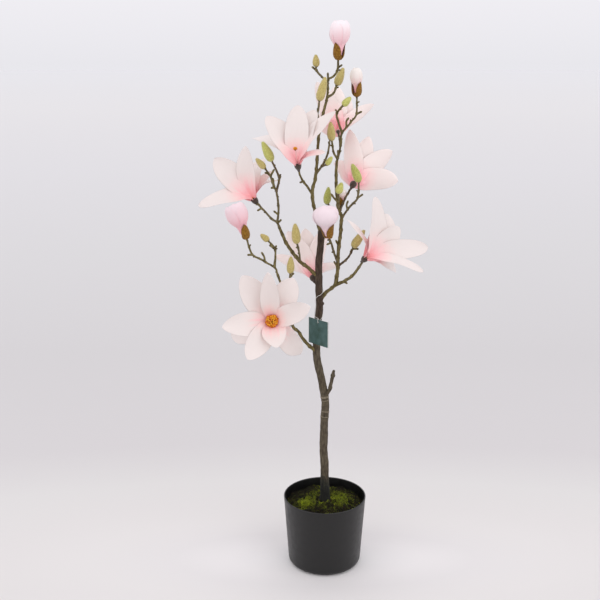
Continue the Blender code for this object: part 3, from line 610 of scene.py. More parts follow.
def felt_materials(felts, relief=0.0003):
    """Felts mottled in these tints, with this sheen each."""
    made = []
    for name, (dark, pale, sheen) in felts.items():
        felt = Material(name, linear(dark), 0.9,
                        Sheen_Weight=sheen, Sheen_Roughness=0.6, Specular_IOR_Level=0.25)
        felt.colours(felt.noise(420, 4.0), [(0.35, dark), (0.68, pale)])
        felt.relief(felt.noise(1800, 3.0), relief, 0.6)
        made.append(felt.data)
    return made


def fur_materials(furs):
    """Plain furs in these tints."""
    made = []
    for name, tint in furs.items():
        fur = Material(name, linear(tint), 0.85, Sheen_Weight=0.4, Sheen_Roughness=0.5)
        fur.relief(fur.noise(2200, 2.0), 0.0002, 0.4)
        made.append(fur.data)
    return made


# Limbs

def bark_relief(seed, depth, ridges):
    """The surface of bark: ridges along the limb that wander, split and run out."""
    rule = Random(seed)
    ridge_waves = ring_waves(rule, 7, (max(2, ridges // 3), ridges), (-110, 110))
    patch_waves = ring_waves(rule, 5, (1, 4), (60, 260))

    def relief(along, turn):
        ridge = wave_sum(ridge_waves, along, turn)
        patch = wave_sum(patch_waves, along, turn)
        return depth * (0.6 - 1.3 * np.abs(ridge) / 2.6 + 0.35 * patch / 2.2)

    return relief


def rounded_end(path, radii):
    """The path and its radii with a dome added at the end."""
    heading = (path[-1] - path[-2]) / np.linalg.norm(path[-1] - path[-2])
    turns = np.radians([30, 55, 75, 88])
    dome = path[-1] + radii[-1] * np.sin(turns)[:, None] * heading
    return np.concatenate([path, dome]), np.concatenate([radii, radii[-1] * np.cos(turns)])


class Limb:
    """A tapering limb: the path that growth on it starts from, and a finer path through the same knees."""

    def __init__(self, start, knees, root_radius, tip_radius):
        knees = [start] + list(knees)
        self.path = smooth_curve(knees, LIMB_STEP)
        self.fine = smooth_curve(knees, FINE_STEP)
        self.root_radius = root_radius
        self.tip_radius = tip_radius

    def at(self, height):
        """The place on its middle at this height, or just inside its tip."""
        if height is None:
            return self.path[-1] - 0.0025 * self.heading()
        for below, above in zip(self.path, self.path[1:]):
            if below.z <= height <= above.z:
                return below.lerp(above, (height - below.z) / (above.z - below.z))
        raise ValueError(f"the limb doesn't pass the height {height}")

    def heading(self):
        """The way that it points at its tip."""
        return (self.path[-1] - self.path[-2]).normalized()

    def draw(self, shape, seed, sides, depth, knots=(), shade=0):
        """Its tube: crooked, lumpy, thicker at its root and at its knots."""
        rule = Random(seed)
        path = np.array(self.fine)
        along = distances(path)
        share = along / along[-1]
        across, up = frames(path)
        fade = np.sin(pi * share) ** 0.5
        for side in (across, up):
            for wave in (rule.uniform(150, 260), rule.uniform(320, 520)):
                sway = 0.07 * self.root_radius * (150 / wave) ** 0.5
                path = path + (sway * fade * np.sin(wave * along + rule.uniform(0, 2 * pi)))[:, None] * side
        radii = LIMB_SLIMNESS * (self.root_radius + (self.tip_radius - self.root_radius) * share)
        radii = radii * (1 + 0.40 * np.exp(-along / ROOT_SWELLING))
        for wave in (rule.uniform(180, 300), rule.uniform(420, 700)):
            radii = radii * (1 + 0.03 * np.sin(wave * along + rule.uniform(0, 2 * pi)))
        for knot in knots:
            radii = radii * (1 + 0.26 * np.exp(-((along - knot) / KNOT_SWELLING) ** 2))
        path, radii = rounded_end(path, radii)
        shape.tube(path, radii, sides, shade, bark_relief(seed, depth, sides // 3))


def trunk_radius(height):
    """The trunk's radius: an even taper with a flare that dies out above the ground."""
    top = TRUNK_KNEES[-1][2]
    share = (height - GROUND) / (top - GROUND)
    rise = np.clip((height - GROUND) / TRUNK_FLARE_HEIGHT, 0, None)
    flare = (TRUNK_FLARE - TRUNK_ROOT) * np.exp(-rise ** 1.3 / 3)
    return TRUNK_ROOT + (TRUNK_TIP - TRUNK_ROOT) * share + flare


def make_trunk():
    """The trunk with its faint ridges, its ring scars and its pruned spur, darkest at its foot with painted
    shade.
    """
    trunk = Limb((TRUNK_FOOT_X, 0, GROUND), TRUNK_KNEES, TRUNK_ROOT, TRUNK_TIP)
    shape = Shape("trunk_bark")
    path = np.array(smooth_curve([(TRUNK_FOOT_X, 0, GROUND + GAP)] + TRUNK_KNEES, TRUNK_FINE_STEP))
    height = path[:, 2]
    path[:, 0] += 0.0005 * np.sin(95 * height) * np.clip((height - GROUND) / 0.05, 0, 1)
    path[:, 1] += 0.0006 * np.sin(71 * height + 1) * np.clip((height - GROUND) / 0.05, 0, 1)
    radii = trunk_radius(height) * (1 + 0.025 * np.sin(120 * height) + 0.02 * np.sin(310 * height + 2))
    for ring, width, stand in TRUNK_RINGS:
        radii = radii + stand * np.exp(-((height - ring) / width) ** 2)
    path, radii = rounded_end(path, radii)
    ridges = bark_relief("trunk", TRUNK_RIDGES, 26)

    def relief(along, turn):
        return ridges(along, turn) + 0.0011 * wave_sum(TRUNK_ROOTS, along, turn) * np.exp(-along / 0.010)

    shape.tube(path, radii, TRUNK_SIDES, trunk_shades(path[:-1, 2:]), relief)
    add_pruned_spur(shape, trunk)
    shape.piece(bark_materials(TRUNK_BARKS), "bark", ["trunk"])
    return trunk


def trunk_shades(level):
    """The bark of each face at these levels: dark up the trunk, in painted shade at its foot, pale on its low
    scars.
    """
    turn = 2 * pi * np.arange(TRUNK_SIDES) / TRUNK_SIDES
    drift = 0.012 * np.sin(2 * turn + 60 * level) + 0.007 * np.sin(5 * turn - 140 * level)
    shade = np.where(level + 1.5 * drift > UPPER_BARK, DARK_BARK, PLAIN_BARK)
    # Painted shade: three ever darker barks towards the trunk's foot, where the pot's mouth shades it.
    for number, limit in enumerate(PAINTED_SHADE_HEIGHTS):
        shade[level + 0.5 * drift < limit] = PAINTED_SHADE_BARK + number
    for ring, width, _ in TRUNK_RINGS[:4]:
        shade[np.abs(level[:, 0] - ring) < 0.7 * width] = SCAR_BARK
    return shade.reshape(-1)


def add_pruned_spur(shape, trunk):
    """The stub of a pruned branch low on the trunk, and a small bump above it."""
    spur = Limb(trunk.at(PRUNED_SPUR_HEIGHT), PRUNED_SPUR_KNEES, 0.0047, 0.0035)
    length = distances(np.array(spur.fine))[-1]
    spur.draw(shape, "spur", BOUGH_SIDES, 0.0003, [share * length for share in PRUNED_SPUR_KNOTS])
    bump = trunk.at(BUMP_HEIGHT)
    shape.tube([bump + Vector(step) for step in BUMP_PATH], BUMP_RADII, STUB_SIDES, DARK_BARK)


class Crown:
    """The joined shapes that the crown is made of, each kind apart."""

    def __init__(self):
        self.boughs = Shape("boughs_bark")
        self.twigs = Shape("twigs")
        self.petals = Shape("petals")
        self.blooms = Shape("half_open_blooms")
        self.sepals = Shape("sepals")
        self.stamens = Shape("stamens")
        self.buds = Shape("buds")
        self.fur = Shape("bud_fur")

    def finish(self):
        """Makes the pieces, with their materials."""
        self.boughs.piece(bark_materials(BOUGH_BARKS), "bark", BOUGHS)
        self.twigs.piece(bark_materials(TWIG_BARKS), "spray", SPRAYS)
        self.petals.piece(silk_materials(PETAL_SILKS, PETAL_STOPS, PETAL_SHADES), "spray")
        self.blooms.piece(silk_materials(BLOOM_SILKS, BLOOM_STOPS, BLOOM_SHADES), "spray")
        self.sepals.piece(felt_materials(SEPAL_FELTS), "spray")
        self.stamens.piece(felt_materials(STAMEN_FELTS), "spray")
        self.buds.piece(felt_materials(BUD_FELTS), "spray")
        self.fur.piece(fur_materials(BUD_FURS), "spray")


def petal_spread(share, bluntness):
    """How wide a petal is at each share of its length: it widens from its claw and draws in to its tip."""
    widening = PETAL_CLAW + (1 - PETAL_CLAW) * np.sin(pi / 2 * np.minimum(1, share / PETAL_WIDEST))
    closing = np.clip((share - PETAL_WIDEST) / (1 - PETAL_WIDEST), 0, 1)
    return widening * np.maximum(PETAL_TIP, (1 - closing ** bluntness) ** 0.62)


def blade_lines(rows, columns, gather):
    """The places along a thin closed blade, gathered towards its tip, and round it: across, and its layer."""
    along = 1 - (1 - np.linspace(0, 1, rows)) ** gather
    line = np.sin(np.linspace(-1, 1, columns) * 1.45) / sin(1.45)
    across = np.concatenate([line, line[-2:0:-1]])
    layer = np.concatenate([np.ones(columns), -np.ones(columns - 2)])
    layer[[0, columns - 1]] = 0
    return along, across, layer


def petal_grid(base, toward, axis, length, width, cup, rule):
    """An open flower's petal, with its own curl, ripple, crease and twist.

    It leaves the heart between the axis and its own way, nearer to the axis the higher its cup, and then
    arches outwards. It is hollow on the side of the axis.
    """
    start = (cup * axis + (1 - cup) * toward).normalized()
    side, start, toward = (np.array(way) for way in (axis.cross(toward).normalized(), start, toward))
    along, across, layer = blade_lines(PETAL_ROWS, PETAL_COLUMNS, 1.5)
    u, v = along[:, None], across[None, :]
    line = 2 * u * (1 - u) * 0.38 * length * start + u ** 2 * length * toward
    tangent = np.gradient(line, axis=0)
    tangent /= np.linalg.norm(tangent, axis=1, keepdims=True)
    face = np.cross(tangent, side)[:, None, :]
    side = side[None, None, :]
    half = 0.5 * width * petal_spread(u, rule.uniform(1.8, 3.0))
    twist = (rule.uniform(-0.22, 0.22) * u)[..., None]
    arch = rule.uniform(0.0, 0.07)
    sway = rule.uniform(-0.05, 0.05)
    curl = rule.uniform(-0.16, 0.10)
    ripple = np.sin(2 * pi * rule.uniform(1.6, 2.6) * u + rule.uniform(0, 2 * pi))
    ripple = PETAL_RIPPLE * ripple * v * np.abs(v)
    crease = PETAL_CREASE * np.exp(-(v / 0.13) ** 2) * (1 - u ** 2)
    veins = PETAL_VEIN * np.cos(9 * pi * v * (0.6 + 0.4 * u)) * np.sin(pi * u) ** 0.5
    lift = PETAL_CUP * half * v ** 2 * (1 + curl * 4 * u ** 2) + ripple - crease + veins
    turned_side = np.cos(twist) * side + np.sin(twist) * face
    turned_face = np.cos(twist) * face - np.sin(twist) * side
    centre = (np.array(base) + line[:, None, :] - arch * length * u[..., None] ** 3 * face
              + sway * length * u[..., None] ** 2 * side)
    depth = 0.5 * PETAL_THICKNESS * (1 - 0.75 * v ** 4) * layer[None, :]
    points = centre + (v * half)[..., None] * turned_side + (lift + depth)[..., None] * turned_face
    return points, along, across, layer


def add_petal(shape, grid, shade_at):
    """Adds the blade, with the shade of each face from its place along and across and its side."""
    points, along, across, layer = grid
    rows, ring = points.shape[:2]
    u = (0.5 * (along[1:] + along[:-1]))[:, None]
    v = (0.5 * (across + np.roll(across, -1)))[None, :]
    inner = (layer + np.roll(layer, -1) > 0)[None, :]
    shades = np.broadcast_to(shade_at(u, v, inner), (rows - 1, ring)).reshape(-1)
    last = (rows - 1) * ring
    caps = [range(ring), range(last + ring - 1, last - 1, -1)]
    shape.add(points, grid_faces(rows, ring)[:, ::-1], shades, caps)


def streaks(rule, strength):
    """Uneven edges for a blush that runs up a petal along its veins."""
    drawn = [(rule.uniform(3, 16), rule.uniform(0, 2 * pi)) for _ in range(5)]
    return lambda v: strength * sum(np.sin(rate * v + start) for rate, start in drawn) / 2.2


def shade_number(level, count):
    """The number of the shade at each level from 0 to 1."""
    return np.clip(np.round(level * (count - 1)), 0, count - 1).astype(int)


def round_cup(cup, height, stand, turn):
    """Places round a cup, each this far up it, this far out from its axis and this far round it."""
    base, axis, outward = cup[:3]
    sideways, upright = np.array(outward), np.array(axis.cross(outward))
    return (np.array(base) + height[..., None] * np.array(axis)
            + (stand * np.cos(turn))[..., None] * sideways + (stand * np.sin(turn))[..., None] * upright)


def places_along(path, rule, spacing, first, later):
    """Places along a limb at about this spacing: how far along, where, its heading there and the way out.

    The first step and the later ones are drawn from these shares of the spacing. Each way out is turned on
    from the last.
    """
    ahead = spacing * rule.uniform(*first)
    turn = rule.uniform(0, 2 * pi)
    distance = 0
    for start, end in zip(path, path[1:]):
        distance += (end - start).length
        ahead -= (end - start).length
        if ahead > 0:
            continue
        ahead = spacing * rule.uniform(*later)
        turn += GOLDEN_TURN
        heading = (end - start).normalized()
        outward = Matrix.Rotation(turn, 3, heading) @ heading.orthogonal().normalized()
        yield distance, end, heading, outward


def add_spur(shape, name, limb, height, bends):
    """A spur that starts on the limb at this height and takes each bend's clock angle and length."""
    knees = [limb.at(height)]
    for number, (clock, length) in enumerate(bends):
        knees.append(knees[-1] + length * pointing(clock, 15 * (-1) ** number))
    path = np.array(smooth_curve(knees, SPUR_STEP))
    along = distances(path)
    share = along / along[-1]
    radii = SPUR_RADIUS - SPUR_TAPER * share + SPUR_ROOT_SWELLING * np.exp(-along / 0.0018)
    radii = radii + SPUR_TIP_SWELLING * np.exp(-((share - 0.86) / 0.10) ** 2)
    path, radii = rounded_end(path, radii)
    shape.tube(path, radii, TWIG_SIDES, 0, bark_relief(f"{name} {height}", SPUR_RIDGES, 5))


class Spray:
    """A mass of the crown: twigs that branch from one stem, with the flowers, blooms and buds on them."""

    def __init__(self, crown, name, limbs):
        self.crown = crown
        self.name = name
        self.limbs = limbs
        self.rule = Random(name)
        self.fine_rule = Random(name + " fine")
        self.twig_count = 0

    def twig(self, carrier, height, knees, spurs=(), root_radius=TWIG_ROOT, tip_radius=TWIG_TIP):
        """A twig that leaves its carrier at this height, or at its tip, with its stubs, nubs and spurs."""
        limb = Limb(carrier.at(height), knees, root_radius, tip_radius)
        stubs = self.stubs(limb)
        self.twig_count += 1
        shade = self.fine_rule.randrange(len(TWIG_BARKS))
        knots = [distance for distance, _, _ in stubs]
        limb.draw(self.crown.twigs, f"{self.name} {self.twig_count}", TWIG_SIDES, TWIG_RIDGES, knots, shade)
        for _, root, tip in stubs:
            path = [root.lerp(tip, share) for share, _ in STUB_PROFILE]
            self.crown.twigs.tube(path, [STUB_RADIUS * width for _, width in STUB_PROFILE], STUB_SIDES, shade)
        self.nubs(limb, shade)
        for place, *bends in spurs:
            add_spur(self.crown.twigs, self.name, limb, place, bends)
        return limb

    def stubs(self, limb):
        """Where short stubs stand, at about even steps, left out where they would meet a bough."""
        found = []
        places = places_along(limb.path, self.rule, STUB_SPACING, (0.5, 1.0), (0.7, 1.3))
        for distance, root, heading, outward in places:
            tip = root + STUB_LENGTH * (outward + 0.7 * heading)
            if all((point - tip).length > 3 * STUB_LENGTH for bough in self.limbs for point in bough.path):
                found.append((distance, root, tip))
        return found

    def nubs(self, limb, shade):
        """Leaf scars with tiny pointed buds, closer together than the stubs."""
        rule = self.fine_rule
        places = places_along(limb.fine[3:], rule, NUB_SPACING, (0.6, 1.2), (0.6, 1.4))
        for _, place, heading, outward in places:
            root = place + NUB_STAND * outward
            tip = root + rule.uniform(0.0020, 0.0036) * (0.55 * outward + heading)
            path = [root.lerp(tip, share) for share, _ in NUB_PROFILE]
            self.crown.twigs.tube(path, [radius for _, radius in NUB_PROFILE], 6, shade)

    def collar(self, base, axis, profile, size, sides, felt):
        """A felted collar under a bud or a cup."""
        heights, radii = size * np.array(profile).T
        self.crown.sepals.turned(base, axis, heights, radii, sides, felt)

    def bud(self, limb, clock, lean, length, radius, tint):
        """A furry bud: two bracts that wrap each other, under a coat of short hairs."""
        axis = pointing(clock, lean)
        base = limb.path[-1] - BUD_ROOT * axis
        length = length + BUD_ROOT
        share = 1 - (1 - np.linspace(0, 1, 22)) ** 1.3
        widths = profile_width(BUD_PROFILE, share) * radius
        seam = self.fine_rule.uniform(0, 2 * pi)

        def bracts(along, turn):
            wrap = (turn - seam - 1.6 * along / length) % (2 * pi)
            step = np.where(wrap < pi, 1 - wrap / pi, 1 - (wrap - pi) / pi)
            return BRACT_STEP * (step - 0.5) * np.sin(pi * np.clip(along / length, 0, 1)) ** 0.6

        self.crown.buds.turned(base, axis, share * length, widths, 28, tint, bracts)
        self.coat(base, axis, length, radius, tint)
        self.collar(base - 0.0015 * axis, axis, BUD_COLLAR, 1, 16, COLLAR)

    def coat(self, base, axis, length, radius, tint):
        """Short hairs all over a bud, laid forward along it."""
        area = 2 * pi * radius * 0.8 * length
        count = int(area / FUR_SPACING ** 2 / 6)
        rule = np.random.default_rng(self.fine_rule.randrange(10 ** 6))
        share = rule.uniform(0.02, 0.99, count)
        turn = rule.uniform(0, 2 * pi, count)
        widths = profile_width(BUD_PROFILE, share) * radius
        across = axis.orthogonal().normalized()
        up = np.array(axis.cross(across))
        across, axis = np.array(across), np.array(axis)
        spoke = np.cos(turn)[:, None] * across + np.sin(turn)[:, None] * up
        root = np.array(base) + (share * length)[:, None] * axis + (widths - 0.0002)[:, None] * spoke
        lay = 0.55 * spoke + 0.85 * axis + 0.22 * rule.normal(size=(count, 3))
        lay /= np.linalg.norm(lay, axis=1, keepdims=True)
        tip = root + rule.uniform(*HAIR_LENGTHS, count)[:, None] * lay
        beside = np.cross(lay, spoke)
        beside /= np.linalg.norm(beside, axis=1, keepdims=True)
        over = np.cross(lay, beside)
        corners = [root + HAIR_RADIUS * beside,
                   root - 0.5 * HAIR_RADIUS * beside + 0.8 * HAIR_RADIUS * over,
                   root - 0.5 * HAIR_RADIUS * beside - 0.8 * HAIR_RADIUS * over, tip]
        points = np.stack(corners, axis=1)
        start = 4 * np.arange(count)[:, None, None]
        faces = (start + np.array([(0, 1, 3), (1, 2, 3), (2, 0, 3)])[None]).reshape(-1, 3)
        self.crown.fur.add(points, faces, tint)

    def calyx(self, base, stalk, size):
        """The dark knob under an open flower, drawn in to a neck where it meets the twig."""
        share = np.linspace(0, 1, 20)
        length, radius = size * CALYX_LENGTH, size * CALYX_RADIUS
        radii = profile_width(CALYX_PROFILE, share) * radius
        heights = np.concatenate([share * length, length + np.array([0.0008, 0.0011])])
        radii = np.concatenate([radii, [0.5 * radius, 0.05 * radius]])

        def furrows(along, turn):
            folds = CALYX_FOLD * np.cos(3 * turn + 60 * along) + CALYX_CREASE * np.cos(11 * turn - 90 * along)
            return folds * (size * np.clip(along / length, 0, 1))

        self.crown.sepals.turned(base - 0.92 * length * stalk, stalk, heights, radii, 30, CALYX, furrows)

    def stamens(self, base, axis, size, rise):
        """A boss of club-shaped stamens that stand out all round a dark core, raised on a pink stalk."""
        across = axis.orthogonal().normalized()
        heights, radii = size * np.array(BOSS_CORE).T
        heights[1:] += rise
        if rise:
            radii[0] = size * BOSS_STALK_RADIUS
        shades = np.repeat([STALK if rise else CORE] + [CORE] * (len(BOSS_CORE) - 2), 20)
        self.crown.stamens.turned(base, axis, heights, radii, 20, shades)
        middle = base + (rise + size * BOSS_MIDDLE) * axis
        radii = [size * radius for radius in STAMEN_RADII]
        knee = STAMEN_STALK[-1]
        for number in range(STAMEN_COUNT):
            slope = -0.12 + 1.12 * (number + 0.5) / STAMEN_COUNT
            spoke = Matrix.Rotation(number * GOLDEN_TURN, 3, axis) @ across
            out = ((1 - slope ** 2) ** 0.5 * spoke + slope * axis).normalized()
            bend = (out + self.fine_rule.uniform(0.0, 0.35) * axis).normalized()
            reach = size * STAMEN_REACH * self.fine_rule.uniform(0.90, 1.06)
            path = [middle + reach * share * out for share in STAMEN_STALK]
            path += [middle + knee * reach * out + (share - knee) * reach * bend for share in STAMEN_CLUB]
            shade = ORANGE if slope < 0.30 or self.fine_rule.random() < 0.22 else GOLD
            self.crown.stamens.tube(path, radii, 8, shade)

    def flower(self, limb, kind, boss=0.4, rise=0.0, cup=0.75, blush=0.12, knob=1.0):
        """An open flower on the limb's tip: its calyx, its stamens, this far up its heart, and its petals.

        The blush adds to how far its pink runs up the petals, and the knob is the size of its calyx.
        """
        (clock, lean), petals = FLOWERS[kind]
        axis = pointing(clock, lean)
        base = limb.path[-1]
        self.calyx(base, (limb.heading() + 0.6 * axis).normalized(), knob)
        self.stamens(base, axis, boss, rise)
        for petal_clock, petal_lean, share, *narrowing in petals:
            rule = Random(f"{kind} {petal_clock} {petal_lean}")
            toward = pointing(petal_clock, petal_lean)
            width = PETAL_WIDTH * (narrowing[0] if narrowing else 1)
            grid = petal_grid(base, toward, axis, share * PETAL_LENGTH, width, cup, rule)
            streak = streaks(rule, 0.10)
            reach = rule.uniform(0.46, 0.60) / share
            tone = rule.uniform(-0.04, 0.04)

            def shade_at(u, v, inner):
                level = (u - (0.07 + blush) / share) / reach + tone + 0.12 * v ** 2
                level = level + streak(v) * np.sin(pi * np.clip(u / reach, 0, 1))
                # Outer faces take the brighter outer silks: painted light for light shining through the silk.
                return shade_number(level, PETAL_SHADES) + np.where(inner, 0, PETAL_SHADES)

            add_petal(self.crown.petals, grid, shade_at)

    def half_open(self, limb, clock, lean, length, radius, sepal_turns, seam,
                  mouth=0.3, blush=0.0, silk=PINK, felt=1.0):
        """A closed cup of wrapped petals on the limb's tip, with felted sepals that hug its foot.

        The turns are about the cup's axis, from the front towards the right. The mouth is the top's share of
        the cup's width, the blush is how far up its pink runs, and felt is the size of the sepals.
        """
        axis = pointing(clock, lean)
        base = limb.path[-1] + 0.0005 * axis
        front = pointing(0, 90)
        outward = (front - front.dot(axis) * axis).normalized()
        profile = (*BLOOM_PROFILE, (0.86, min(1, 0.80 + 0.2 * mouth)), (1.0, mouth))
        cup = (base, axis, outward, length, radius, profile)
        first = silk * BLOOM_SHADES
        self.core(cup, blush, first)
        for inner, middle in WRAPPED_PETALS:
            self.wrapped_petal(cup, radians(seam + middle), inner, blush, first)
        for turn in sepal_turns:
            self.sepal(cup, radians(turn), felt)
        self.collar(base - 0.001 * axis, axis, CUP_COLLAR, felt, 24, SEPAL)

    def core(self, cup, blush, first):
        """The plain body that closes a cup behind its wrapped petals."""
        base, axis, _, length, radius, profile = cup
        share = np.linspace(0, 1, 24)
        widths = np.maximum(0.93 * profile_width(profile, share) * (1 - share ** 20), 0.01)
        share = 0.955 * share
        levels = np.clip((share[:-1] - BLOOM_BLUSH) / BLOOM_FADE - blush, 0, 1) * (BLOOM_SHADES - 1)
        shades = first + np.repeat(levels.astype(int), 24)
        self.crown.blooms.turned(base, axis, share * length, widths * radius, 24, shades)

    def sepal(self, cup, middle, size):
        """An egg-shaped felted sepal that wraps the foot of a cup and stands just outside it."""
        length, radius, profile = cup[3:]
        along, across, layer = blade_lines(26, 15, 1.3)
        u, v = along[:, None], across[None, :]
        under = profile_width(profile, along * size * SEPAL_LENGTH / length) * radius + SEPAL_CLEARANCE * size
        stand = np.maximum(size * profile_width(SEPAL_STAND, along), under)[:, None]
        width = size * SEPAL_WIDTH * profile_width(SEPAL_OUTLINE, along)[:, None]
        reach = np.minimum(0.5 * width / stand, radians(95))
        stand = stand + SEPAL_BULGE * (1 - v ** 2) * np.sin(pi * u)
        stand = stand - 0.5 * SEPAL_THICKNESS * layer[None, :] * (1 - v ** 4)
        points = round_cup(cup, u * size * SEPAL_LENGTH * (1 - 0.03 * v ** 2), stand, middle + v * reach)

        def shade_at(u, v, inner):
            return np.where(inner | (np.abs(v) > 0.93), LINING, SEPAL)

        add_petal(self.crown.sepals, (points, along, across, layer), shade_at)

    def wrapped_petal(self, cup, middle, inner_layer, blush, first):
        """One petal of a closed cup. It covers its neighbour with one edge and is tallest at the front."""
        length, radius, profile = cup[3:]
        rule = Random(f"{self.name} wrapped {middle:.3f}")
        along, across, layer = blade_lines(34, 19, 1.4)
        u, v = along[:, None], across[None, :]
        size = (0.975 if inner_layer else 1.0) - 0.03 * u ** 4
        blunt = 2.6 + 10 * max(0, profile[-1][1] - 0.42)
        closing = np.clip((u - 0.42) / 0.58, 0, 1)
        reach = WRAP_REACH * np.sqrt(np.clip(1 - closing ** blunt, 0, 1))
        tall = length * (0.955 + 0.045 * cos(middle)) * (0.985 if inner_layer else 1.0)
        tall = tall * rule.uniform(0.98, 1.0)
        height = along * (tall / length + (1 - tall / length) * along ** 5)
        width = profile_width(profile, height)[:, None]
        ripple = WRAP_RIPPLE * np.sin(6 * u + rule.uniform(0, 6)) * v ** 2
        stand = radius * width * size * (1 + 0.024 * v) + ripple
        stand = stand - WRAP_CREASE * np.exp(-(v / 0.15) ** 2) * np.sin(pi * u)
        stand = stand - 0.5 * PETAL_THICKNESS * layer[None, :] * (1 - 0.85 * v ** 4)
        points = round_cup(cup, u * tall, stand, middle + v * reach)
        streak = streaks(rule, 0.03)

        def shade_at(u, v, inner):
            # Inner faces are painted paler: painted light that lifts the shade inside the cup's mouth.
            level = (u - BLOOM_BLUSH) / BLOOM_FADE + streak(v) - blush + inner
            level = level - 0.30 * np.clip((np.abs(v) - 0.84) / 0.16, 0, 1) * (1 - 0.4 * u)
            return first + shade_number(level, BLOOM_SHADES)

        add_petal(self.crown.blooms, (points, along, across, layer), shade_at)


# The boughs and the masses, by the same knees as the model's own

# Each bough: what carries it and at what height, its knees, its radii at root and tip, and its spurs.
BOUGHS = {
    "low_bough": ("trunk", 0.459, [
        (-0.040, -0.012, 0.483), (-0.053, -0.020, 0.505), (-0.066, -0.028, 0.523), (-0.078, -0.035, 0.570),
    ], (0.0039, 0.0031), [(0.505, (-33, 0.0075))]),
    "left_bough": ("trunk", 0.613, [
        (-0.038, 0.006, 0.632), (-0.051, 0.008, 0.642), (-0.068, 0.012, 0.662), (-0.081, 0.016, 0.683),
        (-0.092, 0.019, 0.708),
    ], (0.0041, 0.0034), []),
    "right_bough": ("trunk", 0.562, [
        (-0.002, 0.004, 0.579), (0.008, 0.008, 0.586), (0.020, 0.010, 0.595), (0.038, -0.004, 0.607),
        (0.053, -0.018, 0.623), (0.062, -0.030, 0.640),
    ], (0.0042, 0.0029), [(0.604, (115, 0.0075))]),
    "riser_bough": ("right_bough", 0.594, [
        (0.023, 0.012, 0.628), (0.023, 0.013, 0.652), (0.027, 0.014, 0.694), (0.029, 0.015, 0.728),
        (0.023, 0.017, 0.746), (0.019, 0.019, 0.781), (0.018, 0.020, 0.810), (0.019, 0.020, 0.836),
    ], (0.0042, 0.0031), [(0.628, (-28, 0.016)), (0.670, (-23, 0.015))]),
    "leader_bough": ("trunk", None, [
        (-0.016, 0.000, 0.715), (-0.021, 0.000, 0.735), (-0.028, 0.000, 0.776), (-0.021, 0.006, 0.814),
        (-0.016, 0.010, 0.883), (-0.009, 0.010, 0.923), (-0.001, 0.010, 0.952),
    ], (0.0040, 0.0027), []),
}


def make_boughs(crown, trunk):
    """The trunk and the boughs that fork from it, by name."""
    limbs = {"trunk": trunk}
    for name, (carrier, height, knees, radii, spurs) in BOUGHS.items():
        limb = Limb(limbs[carrier].at(height), knees, *radii)
        length = distances(np.array(limb.fine))[-1]
        rule = Random(name)
        knots = [0.02 + BOUGH_KNOTS * step + rule.uniform(-0.004, 0.004)
                 for step in range(int(length / BOUGH_KNOTS) - 1)]
        limb.draw(crown.boughs, name, BOUGH_SIDES, BOUGH_RIDGES, knots)
        for place, *bends in spurs:
            add_spur(crown.boughs, name, limb, place, bends)
        limbs[name] = limb
    return limbs


# Each of these grows one mass from the limb that carries it. A twig takes the height at which it leaves its
# carrier, its knees and its spurs, each with its height and its bends. A bud and a half-open bloom take their
# clock angle, lean, length and radius.
def grow_low_left(mass, low):
    stem = mass.twig(low, None, [
        (-0.081, -0.036, 0.584), (-0.094, -0.040, 0.626), (-0.100, -0.042, 0.641), (-0.126, -0.050, 0.659),
        (-0.142, -0.058, 0.671), (-0.151, -0.065, 0.701),
    ], [(0.669, (-88, 0.0095)), (0.654, (-5, 0.010), (-31, 0.009))])
    mass.half_open(stem, -20, 6, 0.074, 0.0204, (30, 165), 50, mouth=0.66, blush=0.34, silk=ROSE)
    inner = mass.twig(stem, 0.641, [(-0.099, -0.036, 0.674), (-0.114, -0.030, 0.693)],
                      [(0.676, (31, 0.007)), (0.678, (-54, 0.009))])
    mass.bud(inner, -51, 0, 0.016, 0.0061, TAN)
    upright = mass.twig(stem, 0.580, [(-0.072, -0.030, 0.608), (-0.070, -0.024, 0.629)],
                        [(0.620, (44, 0.0095))])
    mass.bud(upright, 2, 3, 0.030, 0.0071, TAN)


def grow_front(mass, low):
    stem = mass.twig(low, 0.523, [(-0.080, -0.045, 0.528), (-0.097, -0.068, 0.538), (-0.104, -0.083, 0.546)])
    mass.flower(stem, "front", boss=1.12, cup=0.25, blush=0.0)


def grow_left(mass, left):
    stem = mass.twig(left, None, [
        (-0.096, 0.020, 0.717), (-0.107, 0.021, 0.725), (-0.123, 0.023, 0.742), (-0.142, 0.025, 0.763),
    ], [(0.716, (45, 0.010)), (0.745, (-117, 0.009))])
    mass.flower(stem, "left", boss=0.18)
    inner = mass.twig(stem, 0.717, [
        (-0.093, 0.014, 0.741), (-0.094, 0.008, 0.761), (-0.097, 0.004, 0.780), (-0.104, 0.000, 0.797),
        (-0.108, -0.002, 0.811), (-0.120, -0.006, 0.828),
    ], [(0.734, (-50, 0.0105)), (0.788, (-95, 0.006)), (0.791, (-6, 0.015)), (0.810, (28, 0.015)),
        (0.815, (-72, 0.007))])
    mass.bud(inner, -42, 5, 0.022, 0.0061, TAN)
    outer = mass.twig(inner, 0.780, [
        (-0.092, 0.000, 0.799), (-0.092, -0.004, 0.811), (-0.106, -0.012, 0.843),
    ], [(0.802, (23, 0.009))])
    mass.bud(outer, -25, 14, 0.038, 0.0083, LIME)


def grow_left_bud(mass, left):
    stem = mass.twig(left, 0.643, [(-0.053, -0.004, 0.662), (-0.058, -0.015, 0.686)])
    mass.bud(stem, -5, 5, 0.036, 0.0083, TAN)


def grow_back(mass, trunk):
    stem = mass.twig(trunk, 0.591, [(-0.023, 0.012, 0.601), (-0.026, 0.022, 0.608)])
    mass.flower(stem, "back")


def grow_right(mass, right):
    stem = mass.twig(right, None, [(0.068, -0.038, 0.651), (0.074, -0.045, 0.661)])
    mass.flower(stem, "right", boss=0.18)


def grow_right_bud(mass, riser):
    stem = mass.twig(riser, 0.632, [(0.039, 0.008, 0.646), (0.048, 0.004, 0.661), (0.053, 0.000, 0.675)],
                     [(0.669, (90, 0.0105))])
    mass.bud(stem, 33, 0, 0.037, 0.0082, TAN)


